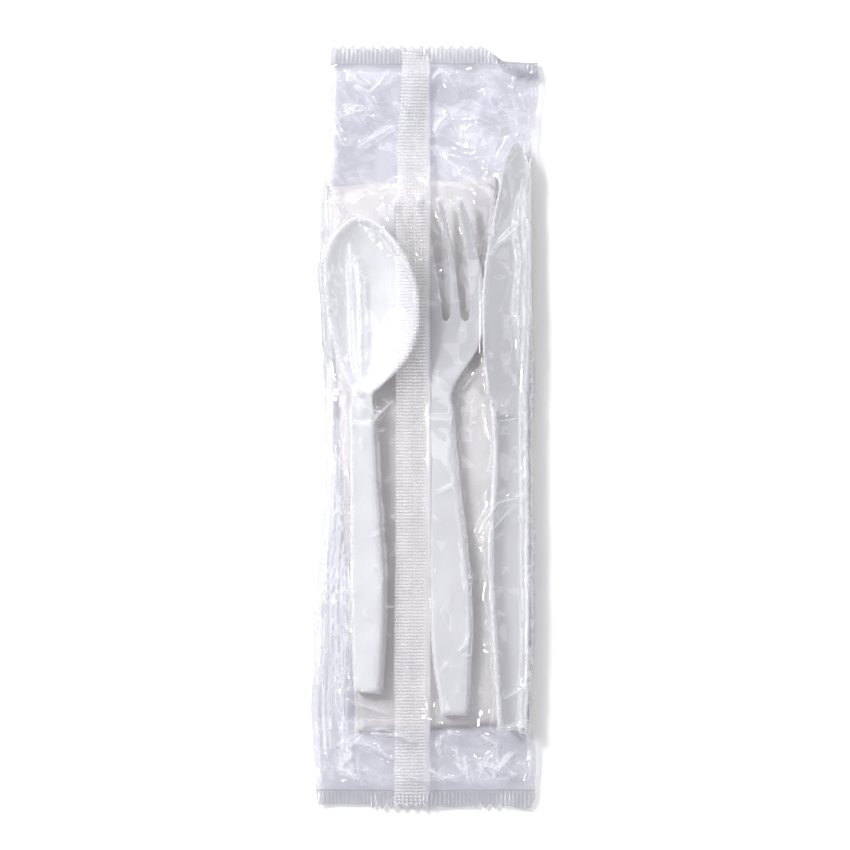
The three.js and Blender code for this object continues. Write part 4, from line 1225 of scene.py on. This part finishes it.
centre = 1 - 0.8 * np.exp(-((SX + 3.35) / 0.16) ** 2)
z = z + 0.56 * (rib ** 0.9) * (0.30 + 0.70 * cell ** 0.8) * worn * crimped * centre - 0.12 * crimped
lean = 0.25 * fractal(SX * 0, SY, 73, 60)
trim = np.interp(ys, [-92, -60, 0, 60, 90, 105], [-0.35, 0.0, 0.15, 0.35, 0.8, 1.9])[:, None]
sx = SX + (lean + trim) * np.clip((FIN_ROOT - SX) / 4.0, 0, 1)
jag = 0.05 * np.sin(math.tau * SY / PITCH_Y) * (SX <= FIN_LEFT + 0.01)
strip = np.stack([sx + jag, SY, z], 2)
add_grid(strip, 0)

film = make_object("crumpled_film", web_mesh[0], web_mesh[1], [mat_film, mat_back], web_mesh[2])
# crease mask for the film's haze: partly real whitening of creased film, partly painted highlight along the creases
crease_white_and_glint = film.data.attributes.new("crease_white_and_glint", "FLOAT", "POINT")
values = np.zeros(len(film.data.vertices), np.float32)
values[: slope.size] = slope.ravel()
# painted shade and light: the crease whitening is turned down at the top right and on the slope above the bowl, painted
# shade, and raised in the lower empty end, painted light
at_xyz = np.zeros(len(film.data.vertices) * 3, np.float32)
film.data.vertices.foreach_get("co", at_xyz)
vx, vy = at_xyz.reshape(-1, 3)[:, 0] * 1000.0, at_xyz.reshape(-1, 3)[:, 1] * 1000.0
values *= 1 - 0.65 * smooth(vx, 2.0, 10.0) * smooth(vy, 70.0, 78.0)
values *= 1 - 0.55 * smooth(vx, -8.0, -14.0) * smooth(vy, 54.0, 60.0) * smooth(vy, 84.0, 76.0)
painted_light_low_end = 0.22 * smooth(vy, -90.0, -95.0)
painted_light_low_end[slope.size :] = 0.0
values = np.clip(values + painted_light_low_end, 0.0, 1.0).astype(np.float32)
crease_white_and_glint.data.foreach_set("value", values)
film.data.set_sharp_from_angle(angle=math.radians(48))
seams = make_object("crimped_seams", np.array(verts), faces, [mat_crimp, mat_seal], fmat)

# ----------------------------------------------------------------- what stands for what
for ob, node, s in (
    (film, "film_wrapper", "clear_film"),
    (seams, "film_wrapper", "clear_film"),
    (spoon, "spoon", "white_plastic"),
    (fork, "fork", "white_plastic"),
    (knife, "knife", "white_plastic"),
    (napkin, "napkin", "napkin_paper"),
):
    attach(ob, "root")
    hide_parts(node)

# ------------------------------------------------------------ floor and light
m_floor, nt, out = nodes_of("floor_white")
fb = nt.nodes.new("ShaderNodeBsdfDiffuse")
fb.inputs["Color"].default_value = (0.93, 0.93, 0.93, 1)
nt.links.new(fb.outputs["BSDF"], out.inputs["Surface"])
fm = bpy.data.meshes.new("floor")
fm.from_pydata([(-3, -3, 0), (3, -3, 0), (3, 3, 0), (-3, 3, 0)], [], [(0, 1, 2, 3)])
fm.materials.append(m_floor)
floor = bpy.data.objects.new("floor", fm)
scene.collection.objects.link(floor)


def softbox(name, at, size, power, aim=(0, 0, 0)):
    d = bpy.data.lights.new(name, "AREA")
    d.shape = "RECTANGLE"
    d.size, d.size_y = size
    d.energy = power
    o = bpy.data.objects.new(name, d)
    o.location = at
    o.rotation_euler = (Vector(aim) - Vector(at)).to_track_quat("-Z", "Y").to_euler()
    scene.collection.objects.link(o)
    return o


def only(o, diffuse, glossy):
    o.visible_diffuse, o.visible_glossy, o.visible_transmission = diffuse, glossy, False


# soft light for the bodies of things
only(softbox("key", (-0.78, 0.52, 1.05), (0.36, 0.36), 18.5), True, False)
only(softbox("fill_low", (0.30, -0.95, 0.85), (0.50, 0.50), 2.0), True, False)
only(softbox("fill_right", (1.05, -0.10, 0.85), (0.7, 0.9), 1.8), True, False)
only(softbox("fill_top", (0.10, 1.15, 0.80), (0.9, 0.35), 6.0), True, False)
# wide dim panels that only show as tones on the film, with crisp edges where a facet turns away
only(softbox("gleam_left", (-1.15, 0.40, 0.72), (0.75, 0.55), 3.4), False, True)
only(softbox("gleam_low_left", (-1.05, -0.45, 0.30), (0.8, 0.3), 1.8), False, True)
only(softbox("gleam_top", (-0.20, 1.05, 0.85), (0.70, 0.40), 1.3), False, True)
for k, (x, y) in enumerate(((-0.22, 0.30), (-0.62, 0.36), (0.20, -0.30), (0.60, 0.34))):
    only(softbox(f"gleam_strip_{k}", (x, y, 1.30), (0.20, 0.80), 1.0 if x < 0 else 0.7), False, True)
only(softbox("gleam_right", (1.00, 0.10, 0.55), (0.25, 0.8), 1.2), False, True)
# small bright ones that draw thin white streaks along creases
for k, (x, y, z, w) in enumerate((
    (-0.90, 0.55, 0.95, 4.0), (-0.55, -0.75, 0.95, 3.0), (0.30, 0.95, 1.00, 3.0),
    (-1.10, 0.00, 0.60, 4.0), (0.75, 0.65, 0.85, 2.4), (-0.35, 1.10, 0.60, 3.0), (-1.0, -0.5, 0.8, 3.0),
)):
    only(softbox(f"spark_{k}", (x, y, z), (0.12, 0.12), w), False, True)

world = bpy.data.worlds.new("studio")
world.use_nodes = True
world.node_tree.nodes["Background"].inputs["Color"].default_value = (1, 1, 1, 1)
world.node_tree.nodes["Background"].inputs["Strength"].default_value = 0.36
scene.world = world
scene.view_settings.view_transform = "Standard"
scene.view_settings.look = "None"
